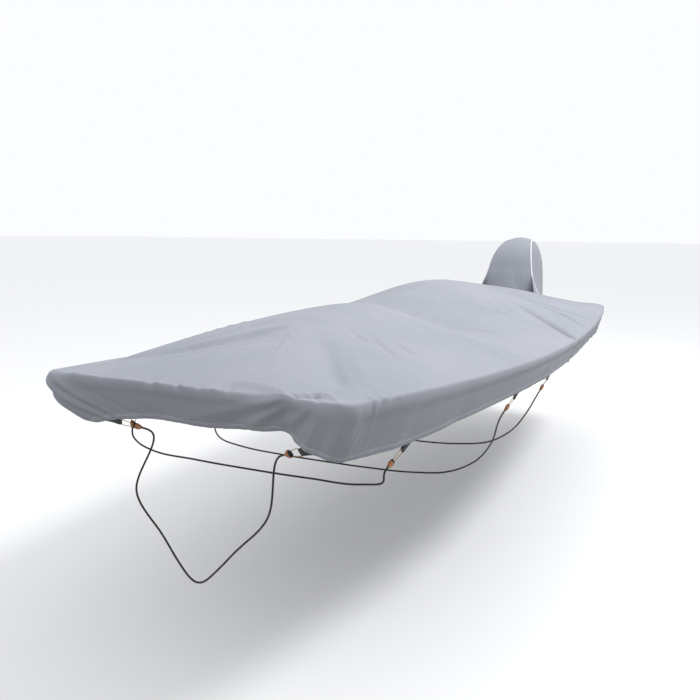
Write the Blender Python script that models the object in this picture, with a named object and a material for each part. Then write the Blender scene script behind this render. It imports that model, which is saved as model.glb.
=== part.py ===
"""Fitted cover for an open, blunt-bowed aluminium boat, with a sewn-in hood for its outboard motor.

The cover is modelled as it hangs on the boat, which is left out. The bow points along -Y, the port
side is +X and up is +Z. The origin is amidships, on the centreline, level with the gunwale.
Every cloth panel is cut from one draped surface, so neighbours meet along their seams.
"""

import math

import bmesh
import bpy
import numpy as np

# Driving sizes, in metres
COVER_LENGTH = 4.89  # bow edge to transom edge
BOW_HALF_WIDTH = 0.632
BEAM_HALF_WIDTH = 0.94
STERN_HALF_WIDTH = 0.823
BEAM_PLACE = 0.586  # widest station, as a share of the length from the bow
BOW_RISE = 0.09  # gunwale at the bow above the gunwale amidships
STERN_RISE = 0.03
CORNER_RADIUS = 0.065
STARBOARD_SLACK = 0.12  # the cloth stands this share further out round the starboard bow corner
SLACK_LENGTH = 0.9
CLOTH = 0.002
SEAM_GAP = 0.0003
RIM_ORDER = np.array((1.0, 0.37, 0.61))  # ranks the two ends of a seam's short facets
SEAM_Y = -0.95  # where the fore and aft side skirts are joined
HOOD_HALF_WIDTH = 0.30  # at its foot
HOOD_DEPTH = 0.245  # how far its foot reaches forward of the transom
FOOT_TURNS = (0, 14, 28, 42, 58, 74, 90)  # stations round the foot, degrees from the transom
BAND_FIRST = 2  # the middle band takes the foot from this station on, the side panels the rest
SKIRT_TUCK = 0.09  # the hull flares, so the hem lies this far inside the gunwale at the bow
SKIRT_TUCK_AFT = 0.045
TUCK_LENGTH = 2.2  # the bow's deeper tuck eases out over this length
CORNER_LENGTH = 0.5  # the tuck across the bow or transom eases out along the sides over this
ROLL_BULGE = 0.010  # the skirt stands proud of the edge where it rolls over the gunwale
RING_SWING = 0.055  # the deck's columns swing this far outwards to pass round the hood's foot
RING_SWING_WIDTH = 0.25
CORD_DIAMETER = 0.008

BOW_Y = -COVER_LENGTH / 2
STERN_Y = COVER_LENGTH / 2
SPINE_FORE = BOW_Y + 0.70
SPINE_AFT = STERN_Y - 0.90

# Height of the deck cloth's crown above the gunwale, and how square each flank is: 1 is a straight
# slope from the ridge to the gunwale, 3 is a flat top with a quick shoulder.
CROWN_COLUMNS = ("y", "rise", "ridge_x", "starboard", "port")
CROWN = (
    (-2.445, 0.000, 0.00, 2.0, 2.0),
    (-2.200, 0.085, 0.00, 2.2, 1.8),
    (-1.850, 0.170, 0.00, 2.1, 1.5),
    (-1.450, 0.225, 0.00, 1.9, 1.2),
    (-1.000, 0.245, 0.00, 1.8, 0.95),
    (-0.500, 0.235, -0.05, 1.8, 0.95),
    (0.000, 0.260, -0.10, 1.7, 1.1),
    (0.550, 0.300, -0.10, 1.7, 1.2),
    (1.000, 0.275, -0.05, 1.6, 1.2),
    (1.600, 0.215, 0.00, 1.5, 1.3),
    (2.100, 0.150, 0.00, 1.4, 1.4),
    (2.445, 0.080, 0.00, 1.3, 1.6),
)

# Soft mounds over what stands in the boat, and hollows between them
MOUND_COLUMNS = ("x", "y", "height", "half_x", "half_y")
MOUNDS = (
    (0.02, -1.00, 0.010, 0.42, 0.30),
    (0.16, -0.40, -0.080, 0.42, 0.20),
    (-0.12, 0.60, 0.020, 0.40, 0.50),
    (0.62, 2.30, -0.030, 0.22, 0.20),
    (0.78, 2.42, 0.020, 0.10, 0.10),
    (-0.62, 2.30, -0.030, 0.22, 0.20),
)

# Main folds: straight troughs (negative) and ridges (positive) pressed into the deck cloth
FOLD_COLUMNS = ("x0", "y0", "x1", "y1", "height", "half_width")
FOLDS = (
    (0.44, 0.69, 0.96, 0.20, -0.018, 0.034),
    (0.28, 1.17, 0.92, 1.28, -0.012, 0.030),
    (0.40, 1.08, 0.84, 1.02, -0.009, 0.026),
    (0.20, 0.76, 0.56, 0.25, -0.008, 0.030),
    (-0.10, 1.70, -0.84, 1.85, -0.014, 0.040),
    (-0.45, -2.16, 0.02, -1.70, -0.010, 0.032),
    (-0.36, -2.26, 0.10, -1.88, -0.008, 0.030),
    (0.20, -1.85, 0.54, -2.28, -0.012, 0.060),
    (0.12, -2.36, 0.42, -2.43, 0.010, 0.030),
)

# Depth of the skirt, from the gunwale to the hem, port side then starboard side
HEM_COLUMNS = ("y", "port", "starboard")
HEM = (
    (-2.445, 0.235, 0.215),
    (-1.900, 0.220, 0.215),
    (-1.300, 0.182, 0.190),
    (-0.600, 0.160, 0.165),
    (0.500, 0.135, 0.140),
    (1.100, 0.130, 0.135),
    (1.700, 0.158, 0.150),
    (2.445, 0.215, 0.205),
)
BOW_HEM_COLUMNS = ("x", "drop")
BOW_HEM = (
    (-0.632, 0.215),
    (-0.500, 0.190),
    (-0.250, 0.165),
    (0.000, 0.172),
    (0.250, 0.158),
    (0.400, 0.162),
    (0.500, 0.205),
    (0.632, 0.235),
)
TRANSOM_DROP = 0.20

# Soft flutes in the skirt: place along the edge, how far they stand out at the hem
FLUTE_COLUMNS = ("x", "y", "depth", "half_width")
FLUTES = (
    (0.18, -2.445, -0.010, 0.05),
    (0.30, -2.445, 0.012, 0.05),
    (0.39, -2.445, -0.012, 0.05),
    (0.51, -2.445, 0.007, 0.08),
    (-0.56, -2.445, -0.010, 0.07),
    (-0.40, -2.445, 0.008, 0.05),
    (0.70, -2.05, 0.008, 0.06),
    (0.78, -1.55, -0.008, 0.08),
    (0.91, -0.40, 0.006, 0.08),
    (0.90, 1.30, -0.008, 0.05),
    (0.87, 1.85, 0.008, 0.04),
    (0.84, 2.15, -0.008, 0.04),
    (-0.75, -1.80, 0.008, 0.07),
    (-0.90, 0.60, -0.008, 0.08),
    (-0.86, 1.90, 0.008, 0.05),
)

# Places where the skirt puffs out between the gunwale and the hem
PUFF_COLUMNS = ("x", "y", "depth", "half_width")
PUFFS = (
    (-0.700, -2.420, 0.042, 0.14),
    (0.632, -2.445, 0.010, 0.10),
    (0.250, -2.445, 0.012, 0.16),
)

# The hood's middle band in side view, front foot over the top to the rear hem
HOOD_COLUMNS = ("y", "z", "middle_x", "half_width")
HOOD_FRONT = (
    (2.200, 0.150, 0.000, 0.255),
    (2.232, 0.230, 0.004, 0.222),
    (2.255, 0.330, 0.008, 0.198),
    (2.278, 0.430, 0.014, 0.178),
    (2.325, 0.520, 0.026, 0.152),
    (2.400, 0.578, 0.040, 0.122),
    (2.500, 0.592, 0.045, 0.108),
)
HOOD_REAR = (
    (2.600, 0.578, 0.045, 0.110),
    (2.690, 0.530, 0.040, 0.126),
    (2.755, 0.450, 0.030, 0.150),
    (2.790, 0.350, 0.020, 0.170),
    (2.806, 0.230, 0.010, 0.184),
    (2.812, 0.060, 0.004, 0.196),
    (2.810, -0.130, 0.000, 0.206),
)
HOOD_CROWN = 0.028  # how far the band bows out between its two seams
HOOD_BULGE = 0.030  # the same for the side panels
HOOD_FOOT_SHARE = 0.44  # share of each row of a side panel that stands over the deck
HOOD_SKIRT_SHARE = 0.71  # and up to where it leaves the transom skirt
HOOD_FOOT_POWER = 8  # how late the rows turn in to follow the foot
BINDING_WIDTH = 0.012
BINDING_THICKNESS = 0.0012
BINDING_CLEARANCE = 0.0010
OVAL_SIDES = 12

# Tie-downs, port side; the starboard side mirrors them. Each row gives the webbing loop's place on
# the edge, how far what hangs from it leans forward (degrees), and the way its cord takes under
# the hull: points from the port side to the centreline.
TIES = {
    "bow": (0.505, -2.445, 44),
    "fore": (0.750, -1.930, 40),
    "mid": (0.878, -0.830, 46),
    "aft": (0.918, -0.240, 46),
}
CORD_ROUTES = {
    "bow": ((0.300, -2.410, -0.365), (0.165, -2.420, -0.515), (0.075, -2.430, -0.614),
            (0.030, -2.432, -0.656), (0, -2.432, -0.668)),
    "fore": ((0.600, -2.050, -0.292), (0.520, -2.060, -0.312), (0.280, -2.065, -0.322), (0, -2.065, -0.325)),
    "mid": ((0.772, -1.150, -0.350), (0.730, -1.290, -0.408), (0.640, -1.370, -0.442),
            (0.480, -1.400, -0.460), (0.240, -1.410, -0.468), (0, -1.410, -0.470)),
    "aft": ((0.800, -0.520, -0.330), (0.755, -0.660, -0.400), (0.670, -0.760, -0.446),
            (0.500, -0.800, -0.470), (0.250, -0.815, -0.480), (0, -0.815, -0.482)),
}
CORD_POINTS = 76
WEBBING_TOP_HALF = 0.0215
WEBBING_END_HALF = 0.0130
WEBBING = 0.0015
WEBBING_BEHIND = 0.0080  # the loop's middle lies this far behind the skirt's face
# The webbing loop in side view, down its outer ply: distance past the hem, half of its opening
LOOP_COLUMNS = ("past_hem", "half_open")
LOOP = (
    (-0.0280, 0.00095),
    (0.0000, 0.00095),
    (0.0120, 0.0013),
    (0.0250, 0.0030),
    (0.0380, 0.0046),
    (0.0462, 0.0038),
    (0.0500, 0.0000),
)
HOOK_WIRE = 0.003
HOOK_START = 0.0462  # the crossbar, inside the webbing loop
HOOK_END = 0.1000
HOOK_HALF_WIDTH = 0.0180
HOOK_END_HALF_WIDTH = 0.0110
HOOK_CORNER = 0.0045
COLLAR_SIZE = (0.030, 0.015, 0.008)
CAP_SIZE = (0.034, 0.018, 0.024)
CAP_TAIL_RADIUS = 0.0062


def column_table(columns, rows):
    """The rows of a table as one array for each named column."""
    return dict(zip(columns, np.array(rows, float).T))


def smooth_along(places, values, at):
    """A smooth curve through values at places, read at the given points (Hermite, gentle slopes)."""
    slopes = np.gradient(values, places)
    at = np.clip(at, places[0], places[-1])
    left = np.clip(np.searchsorted(places, at, side="right") - 1, 0, len(places) - 2)
    step = places[left + 1] - places[left]
    t = (at - places[left]) / step
    start, end = values[left], values[left + 1]
    a = (1 + 2 * t) * (1 - t) ** 2 * start + t * (1 - t) ** 2 * step * slopes[left]
    b = t**2 * (3 - 2 * t) * end + t**2 * (t - 1) * step * slopes[left + 1]
    return a + b


def half_width(y):
    """The gunwale in plan: a parabola forward of the widest station and one aft of it."""
    place = (np.asarray(y, float) - BOW_Y) / COVER_LENGTH
    fore = np.clip((BEAM_PLACE - place) / BEAM_PLACE, 0, None)
    aft = np.clip((place - BEAM_PLACE) / (1 - BEAM_PLACE), 0, None)
    fore_narrowing = (BEAM_HALF_WIDTH - BOW_HALF_WIDTH) * fore**2
    aft_narrowing = (BEAM_HALF_WIDTH - STERN_HALF_WIDTH) * aft**2
    return BEAM_HALF_WIDTH - fore_narrowing - aft_narrowing


def gunwale_height(y):
    """The sheer: the gunwale rises towards the bow and a little towards the stern."""
    place = (np.asarray(y, float) - BOW_Y) / COVER_LENGTH
    fore = np.clip((BEAM_PLACE - place) / BEAM_PLACE, 0, None)
    aft = np.clip((place - BEAM_PLACE) / (1 - BEAM_PLACE), 0, None)
    return BOW_RISE * fore**2 + STERN_RISE * aft**2


def starboard_spread(y):
    """How much wider than the port side the starboard side is, as a factor: slack at the bow."""
    return 1 + STARBOARD_SLACK * np.exp(-(((y - BOW_Y) / SLACK_LENGTH) ** 2))


def deck_height(x, y):
    """The draped top: sheer, plus a crown that dies out at the gunwale, plus mounds and folds."""
    crown = column_table(CROWN_COLUMNS, CROWN)
    rise, ridge, starboard, port = (
        smooth_along(crown["y"], crown[name], y) for name in CROWN_COLUMNS[1:]
    )
    side = np.where(x > ridge, 1.0, -1.0)
    reach = np.clip(half_width(y) - side * ridge, 0.05, None)
    share = np.clip(np.abs(x - ridge) / reach, 0, 1)
    power = np.where(x > ridge, port, starboard)
    # A parabola near the ridge keeps it round, the power law shapes the flank
    shape = 1 - share**power * (1 - 0.25 * np.exp(-((share / 0.25) ** 2)))
    height = gunwale_height(y) + rise * shape
    inside = np.clip(1 - share**4, 0, 1)
    mound = column_table(MOUND_COLUMNS, MOUNDS)
    for row in zip(*(mound[name] for name in MOUND_COLUMNS)):
        mx, my, size, half_x, half_y = row
        height = height + size * inside * np.exp(-(((x - mx) / half_x) ** 2) - ((y - my) / half_y) ** 2)
    fold = column_table(FOLD_COLUMNS, FOLDS)
    for row in zip(*(fold[name] for name in FOLD_COLUMNS)):
        height = height + fold_height(x, y, *row)
    return height


def fold_height(x, y, x0, y0, x1, y1, size, half):
    """One straight fold: a bell across its line, fading out towards both ends."""
    length = math.hypot(x1 - x0, y1 - y0)
    along = ((x - x0) * (x1 - x0) + (y - y0) * (y1 - y0)) / length**2
    across = ((x - x0) * (y1 - y0) - (y - y0) * (x1 - x0)) / length
    fade = np.clip(1 - (2 * along - 1) ** 2, 0, 1)
    return size * fade * np.exp(-((across / half) ** 2))


def edge_stations():
    """The cover's edge in plan, port half from the bow's middle to the hood's front middle."""
    arc_y = BOW_Y + CORNER_RADIUS
    bow_side = half_width(arc_y)
    stern_side = half_width(STERN_Y - CORNER_RADIUS)
    bow = [(x, BOW_Y) for x in np.linspace(0, bow_side - CORNER_RADIUS, 12)]
    port_corner = arc(bow_side - CORNER_RADIUS, arc_y, -90, 0, 6)
    forward = np.linspace(arc_y, SEAM_Y, 13)[1:]
    aft = np.linspace(SEAM_Y, STERN_Y - CORNER_RADIUS, 29)[1:]
    side = [(float(half_width(y)), y) for y in np.concatenate([forward, aft])]
    stern_corner = arc(stern_side - CORNER_RADIUS, STERN_Y - CORNER_RADIUS, 0, 90, 6)
    transom = [(x, STERN_Y) for x in np.linspace(stern_side - CORNER_RADIUS, HOOD_HALF_WIDTH, 5)[1:]]
    foot = [
        (HOOD_HALF_WIDTH * math.cos(turn), STERN_Y - HOOD_DEPTH * math.sin(turn))
        for turn in np.radians(FOOT_TURNS)[1:]
    ]
    parts = {
        "bow": bow,
        "corner": port_corner[1:],
        "fore": side[: len(forward)],
        "aft": side[len(forward):] + stern_corner[1:],
        "transom": transom,
        "foot": foot,
    }
    return parts


def arc(x, y, start, end, count):
    """Points on a round corner about (x, y), from one angle in degrees to another."""
    turns = np.radians(np.linspace(start, end, count))
    return [(x + CORNER_RADIUS * math.cos(t), y + CORNER_RADIUS * math.sin(t)) for t in turns]


def deck_grid(edge):
    """Rings from the spine out to the edge: one row for each ring, one column for each station."""
    spine_y = np.clip(edge[:, 1], SPINE_FORE, SPINE_AFT)
    spine = np.stack([np.zeros(len(edge)), spine_y], 1)
    shares = np.array([0, 0.14, 0.28, 0.42, 0.56, 0.70, 0.83, 0.94, 1.0])
    plan = spine + shares[:, None, None] * (edge - spine)
    near = np.exp(-(((np.abs(edge[:, 0]) - HOOD_HALF_WIDTH) / RING_SWING_WIDTH) ** 2))
    swing = RING_SWING * edge[:, 0] / HOOD_HALF_WIDTH * near * (edge[:, 1] > 0)
    plan[..., 0] += swing * 6.75 * (shares**2 * (1 - shares))[:, None]
    return np.dstack([plan, deck_height(plan[..., 0], plan[..., 1])])


def outward(edge, closed):
    """Level unit vectors that point away from the cover, one for each station along its edge."""
    if closed:
        run = np.roll(edge, -1, 0) - np.roll(edge, 1, 0)
    else:
        run = np.gradient(edge, axis=0)
    level = np.stack([run[:, 1], -run[:, 0]], 1)
    return level / np.linalg.norm(level, axis=1, keepdims=True)


def hem_drop(edge):
    """Depth of the skirt at each station, from the side tables, the bow table or the transom."""
    x, y = edge.T
    hem = column_table(HEM_COLUMNS, HEM)
    bow_hem = column_table(BOW_HEM_COLUMNS, BOW_HEM)
    side = np.where(
        x > 0,
        smooth_along(hem["y"], hem["port"], y),
        smooth_along(hem["y"], hem["starboard"], y),
    )
    bow = smooth_along(bow_hem["x"], bow_hem["drop"], x)
    at_bow = np.clip((BOW_Y + CORNER_RADIUS - y) / CORNER_RADIUS, 0, 1)
    at_stern = np.clip((y - STERN_Y + CORNER_RADIUS) / CORNER_RADIUS, 0, 1)
    return side + at_bow * (bow - side) + at_stern * (TRANSOM_DROP - side)


def tucked(edge):
    """How far the hem lies inside the gunwale at each station: the whole corner moves as one."""
    x, y = edge.T
    from_bow, from_stern = y - BOW_Y, STERN_Y - y
    fore = np.clip(1 - from_bow / TUCK_LENGTH, 0, 1) ** 1.5
    inward = SKIRT_TUCK_AFT + (SKIRT_TUCK - SKIRT_TUCK_AFT) * fore
    aft_shift = SKIRT_TUCK * np.clip(1 - from_bow / CORNER_LENGTH, 0, 1) ** 2
    forward_shift = SKIRT_TUCK_AFT * np.clip(1 - from_stern / CORNER_LENGTH, 0, 1) ** 2
    return np.stack([-inward * np.clip(x / half_width(y), -1, 1), aft_shift - forward_shift], 1)


def stand_out(edge, table):
    """How far the rows of a table push each station outwards: a round bell about each place."""
    total = np.zeros(len(edge))
    for x, y, depth, half in zip(*(table[name] for name in ("x", "y", "depth", "half_width"))):
        away = ((edge[:, 0] - x) ** 2 + (edge[:, 1] - y) ** 2) / half**2
        total += depth * np.exp(-away)
    return total


def skirt_grid(edge, level):
    """The skirt below each station: it rolls over the gunwale, then falls inwards with the hull."""
    drop = hem_drop(edge)
    shares = np.array([0, 0.06, 0.16, 0.33, 0.55, 0.78, 1.0])[:, None]
    flutes = stand_out(edge, column_table(FLUTE_COLUMNS, FLUTES))
    puffs = stand_out(edge, column_table(PUFF_COLUMNS, PUFFS))
    roll = ROLL_BULGE * np.sin(np.pi * np.clip(shares * 3, 0, 1))
    out = roll + flutes * shares + puffs * np.sin(np.pi * shares) ** 0.7
    plan = edge + out[..., None] * level + (shares**1.3)[..., None] * tucked(edge)
    top = deck_height(edge[:, 0], edge[:, 1])
    return np.dstack([plan, top - shares * drop])


def hood_band():
    """The hood's middle band, front foot to rear hem, with a bow across it between its seams."""
    profile = column_table(HOOD_COLUMNS, HOOD_FRONT + HOOD_REAR)
    y, z, middle, half = (profile[name][:, None] for name in HOOD_COLUMNS)
    turns = np.radians(FOOT_TURNS[BAND_FIRST:])
    half_across = np.cos(turns) / math.cos(turns[0])
    across = np.concatenate([half_across, -half_across[-2::-1]])[None, :]
    run_y, run_z = np.gradient(profile["y"]), np.gradient(profile["z"])
    size = np.hypot(run_y, run_z)
    bow = HOOD_CROWN * (1 - across**2)
    band = np.dstack([
        middle + half * across,
        y - bow * (run_z / size)[:, None],
        z + bow * (run_y / size)[:, None],
    ])
    foot_x = HOOD_HALF_WIDTH * math.cos(turns[0]) * across[0]
    foot_y = STERN_Y - HOOD_DEPTH * np.sqrt(1 - (foot_x / HOOD_HALF_WIDTH) ** 2)
    band[0] = np.stack([foot_x, foot_y, deck_height(foot_x, foot_y)], 1)
    return band


def blended(start, end, share):
    return start + share * (end - start)


def hood_side(band, skirt_end, side):
    """One side panel of the hood, rows from its peak down to its foot.

    The foot follows the deck to the transom, the end of the transom skirt down to the hem, and
    then the hem to the rear seam.
    """
    seam = band[:, 0 if side > 0 else -1]
    count = len(HOOD_FRONT)
    front, rear = seam[:count][::-1], seam[count:]
    turns = np.radians(FOOT_TURNS[BAND_FIRST::-1])
    foot_x = side * HOOD_HALF_WIDTH * np.cos(turns)
    foot_y = STERN_Y - HOOD_DEPTH * np.sin(turns)
    foot = np.stack([foot_x, foot_y, deck_height(foot_x, foot_y)], 1)
    hem = blended(skirt_end[-1], rear[-1], np.linspace(0, 1, 6)[1:, None])
    base = np.concatenate([foot, skirt_end[1:], hem])
    along = np.concatenate([
        np.linspace(0, HOOD_FOOT_SHARE, len(foot)),
        np.linspace(HOOD_FOOT_SHARE, HOOD_SKIRT_SHARE, len(skirt_end))[1:],
        np.linspace(HOOD_SKIRT_SHARE, 1, len(hem) + 1)[1:],
    ])
    sag = base - blended(base[0], base[-1], along[:, None])
    rows = []
    for level in range(count):
        share = level / (count - 1)
        row = blended(front[level], rear[level], along[:, None]) + sag * share**HOOD_FOOT_POWER
        bulge = HOOD_BULGE * np.sin(np.pi * along) * math.sin(math.pi * share)
        row[:, 0] += side * bulge
        rows.append(row)
    return np.array(rows)


def face_normals(grid, closed):
    """Area-weighted normals of a grid's cells: down the rows crossed with along the columns."""
    if closed:
        grid = np.concatenate([grid, grid[:, :1]], 1)
    a = grid[1:, 1:] - grid[:-1, :-1]
    b = grid[:-1, 1:] - grid[1:, :-1]
    return np.cross(a, b)


def shared_normals(panels):
    """One normal for each point: the mean of the unit normals of the panels that meet there."""
    shared = {}
    for grid, closed in panels.values():
        normals = face_normals(grid, closed)
        rows, columns = grid.shape[:2]
        total = {}
        for i in range(normals.shape[0]):
            for j in range(normals.shape[1]):
                for row, column in ((i, j), (i + 1, j), (i, j + 1), (i + 1, j + 1)):
                    key = point_key(grid[row, column % columns])
                    total[key] = total.get(key, 0) + normals[i, j]
        for key, normal in total.items():
            shared[key] = shared.get(key, 0) + normal / np.linalg.norm(normal)
    return shared


def point_key(point):
    return tuple(int(round(value * 1e5)) for value in point)


def inset_edges(grid, closed, first_row):
    """The panel's borders drawn in by half a seam gap, so that it clears its neighbours."""
    drawn = grid.copy()
    pairs = [(np.s_[-1], np.s_[-2])]
    if first_row:
        pairs.append((np.s_[0], np.s_[1]))
    if not closed:
        pairs += [(np.s_[:, 0], np.s_[:, 1]), (np.s_[:, -1], np.s_[:, -2])]
    for border, inner in pairs:
        step = grid[inner] - grid[border]
        size = np.linalg.norm(step, axis=-1, keepdims=True)
        drawn[border] += step / np.maximum(size, 1e-6) * SEAM_GAP * 0.6
    return drawn


def panel_mesh(name, grid, closed, normals, first_row=True, thickness=CLOTH):
    """A closed cloth solid: the outer grid, the same grid one thickness inside it, and its rim."""
    outer = inset_edges(grid, closed, first_row)
    inner = outer - thickness * normals
    rows, columns = grid.shape[:2]
    count = rows * columns
    points = np.concatenate([outer.reshape(-1, 3), inner.reshape(-1, 3)])
    last = columns if closed else columns - 1
    faces = []
    for i in range(rows - 1):
        for j in range(last):
            k = (j + 1) % columns
            corners = (i * columns + j, (i + 1) * columns + j, (i + 1) * columns + k, i * columns + k)
            for face in split_cell(points, corners):
                faces.append(face)
                faces.append(tuple(count + c for c in reversed(face)))
    rims = [(rows - 1, False)] + ([(0, True)] if first_row else [])
    for i, flipped in rims:
        for j in range(last):
            faces += rim_faces(points, i * columns + j, i * columns + (j + 1) % columns, count, flipped)
    if not closed:
        for j, flipped in ((0, False), (columns - 1, True)):
            for i in range(rows - 1):
                faces += rim_faces(points, i * columns + j, (i + 1) * columns + j, count, flipped)
    return add_mesh(name, points, faces)


def split_cell(points, corners):
    """Two triangles on the cell's shorter diagonal, so that both faces of the cloth bend alike."""
    a, b, c, d = corners
    if np.linalg.norm(points[a] - points[c]) <= np.linalg.norm(points[b] - points[d]):
        return (a, b, c), (a, c, d)
    return (a, b, d), (b, c, d)


def rim_faces(points, a, b, count, flipped):
    """The rim between two border points, split the same way in the panels on both sides of a seam."""
    if points[a] @ RIM_ORDER < points[b] @ RIM_ORDER:
        pair = ((a, a + count, b + count), (a, b + count, b))
    else:
        pair = ((a, a + count, b), (a + count, b + count, b))
    return [face[::-1] for face in pair] if flipped else list(pair)


def add_mesh(name, points, faces):
    """A named object of its own, its coincident points merged."""
    mesh = bpy.data.meshes.new(name)
    mesh.from_pydata([tuple(p) for p in points], [], faces)
    body = bmesh.new()
    body.from_mesh(mesh)
    bmesh.ops.remove_doubles(body, verts=body.verts, dist=1e-5)
    body.to_mesh(mesh)
    body.free()
    mesh.shade_smooth()
    mesh.set_sharp_from_angle(angle=math.radians(50))
    thing = bpy.data.objects.new(name, mesh)
    bpy.context.scene.collection.objects.link(thing)
    return thing


def surface(name, colour, roughness, metallic=0.0):
    """A plain material: colour as linear red, green and blue."""
    material = bpy.data.materials.new(name)
    material.use_nodes = True
    shader = material.node_tree.nodes["Principled BSDF"]
    shader.inputs["Base Color"].default_value = (*colour, 1.0)
    shader.inputs["Roughness"].default_value = roughness
    shader.inputs["Metallic"].default_value = metallic
    return material


def build_cloth(cloth):
    """The deck, the skirts all round it and the motor hood's three panels."""
    parts = edge_stations()
    half = np.array([point for part in parts.values() for point in part], float)
    mirrored = half[-2:0:-1] * (-1, 1)
    mirrored[:, 0] *= starboard_spread(mirrored[:, 1])
    edge = np.concatenate([half, mirrored])
    level = outward(edge, closed=True)
    panels = {"deck": (deck_grid(edge), True)}

    def index_of(name):
        start = 0
        for part, points in parts.items():
            if part == name:
                return start
            start += len(points)
        return start

    bow_end = index_of("fore") - 1
    fore_end = index_of("aft") - 1
    aft_end = index_of("transom") - 1
    transom_end = index_of("foot") - 1
    spans = {
        "port_fore_skirt": (bow_end, fore_end),
        "port_aft_skirt": (fore_end, aft_end),
        "port_transom_skirt": (aft_end, transom_end),
    }
    everything = skirt_grid(edge, transom_level(edge, level, transom_end))
    total = len(edge)
    for name, (start, end) in spans.items():
        panels[name] = (everything[:, start:end + 1], False)
        other = name.replace("port", "starboard")
        panels[other] = (everything[:, total - end:total - start + 1], False)
    bow = np.concatenate([everything[:, total - bow_end:], everything[:, :bow_end + 1]], 1)
    panels["bow_skirt"] = (bow, False)

    band = hood_band()
    port_end = everything[:, transom_end]
    starboard_end = everything[:, total - transom_end]
    panels["hood_band"] = (band, False)
    panels["hood_port_side"] = (hood_side(band, port_end, 1), False)
    panels["hood_starboard_side"] = (hood_side(band, starboard_end, -1)[:, ::-1], False)

    normals = shared_normals(panels)
    for name, (grid, closed) in panels.items():
        lookup = np.array([[normals[point_key(p)] for p in row] for row in grid])
        lookup /= np.linalg.norm(lookup, axis=-1, keepdims=True)
        if name.endswith("side"):
            lookup[0] = blended(lookup[0, 0], lookup[0, -1], np.linspace(0, 1, grid.shape[1])[:, None])
        thing = panel_mesh(name, grid, closed, lookup, first_row=name != "deck")
        thing.data.materials.append(cloth)
    return panels, normals


def transom_level(edge, level, transom_end):
    """Outward directions, made square to the transom at the hood's corners."""
    squared = level.copy()
    for index in (transom_end, len(edge) - transom_end):
        squared[index] = (0, 1)
    return squared


def build_bindings(panels, normals, binding):
    """A narrow bound strip folded over each of the hood's two seams, front foot to rear hem."""
    band = panels["hood_band"][0]
    for name, column, inner, side_grid in (
        ("hood_port_binding", 0, 1, panels["hood_port_side"][0]),
        ("hood_starboard_binding", -1, -2, panels["hood_starboard_side"][0][:, ::-1]),
    ):
        seam = band[:, column]
        beside = np.concatenate([side_grid[::-1, 1], side_grid[:, -2]])
        lift = np.array([normals[point_key(p)] for p in seam])
        lift /= np.linalg.norm(lift, axis=1, keepdims=True)
        wings = []
        for neighbour in (band[:, inner], beside):
            towards = neighbour - seam
            towards /= np.linalg.norm(towards, axis=1, keepdims=True)
            wings.append(seam + towards * BINDING_WIDTH / 2)
        strip = np.stack([wings[0], seam, wings[1]], 1)
        strip += lift[:, None] * (BINDING_THICKNESS + BINDING_CLEARANCE)
        if column < 0:
            strip = strip[:, ::-1]
        strip, face = strip[1:-1], np.repeat(lift[1:-1, None], 3, axis=1)
        body = panel_mesh(name, strip[:, ::-1], False, face, thickness=BINDING_THICKNESS)
        body.data.materials.append(binding)


def edge_point(name, shift, side):
    """The tie's place on the cover's edge, shifted along it, with the outward direction there."""
    x, y, _ = TIES[name]
    if y > BOW_Y:
        spot = np.array([float(half_width(y + shift)), y + shift])
        slope = float(half_width(y + shift + 0.01) - half_width(y + shift - 0.01)) / 0.02
        out = np.array([1.0, -slope])
    else:
        spot = np.array([x + shift, y])
        out = np.array([0.0, -1.0])
    if side < 0:
        spot[0] *= -starboard_spread(spot[1])
        out[0] *= -1
    return spot, out / np.linalg.norm(out)


def tie_frame(name, side):
    """Where a tie leaves the hem, and its directions: along its pull, across it and outwards."""
    spots, levels = zip(*(edge_point(name, shift, side) for shift in (-0.015, 0.0, 0.015)))
    skirt = skirt_grid(np.array(spots), np.array(levels))
    hem = skirt[-1, 1]
    down = hem - skirt[-2, 1]
    down /= np.linalg.norm(down)
    forward = skirt[-1, 0] - skirt[-1, 2]
    forward -= down * (forward @ down)
    forward /= np.linalg.norm(forward)
    outwards = side * np.cross(forward, down)
    turn = math.radians(TIES[name][2])
    pull = math.cos(turn) * down + math.sin(turn) * forward
    return hem, pull, np.cross(outwards, pull), outwards


def placed(frame, pull, across, out):
    """Points given along the pull, across it and outwards, in the cover's own axes."""
    origin, pull_axis, across_axis, out_axis = frame
    pull, across, out = np.broadcast_arrays(pull, across, out)
    return (
        origin
        + pull[..., None] * pull_axis
        + across[..., None] * across_axis
        + (out[..., None] - WEBBING_BEHIND) * out_axis
    )


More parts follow.
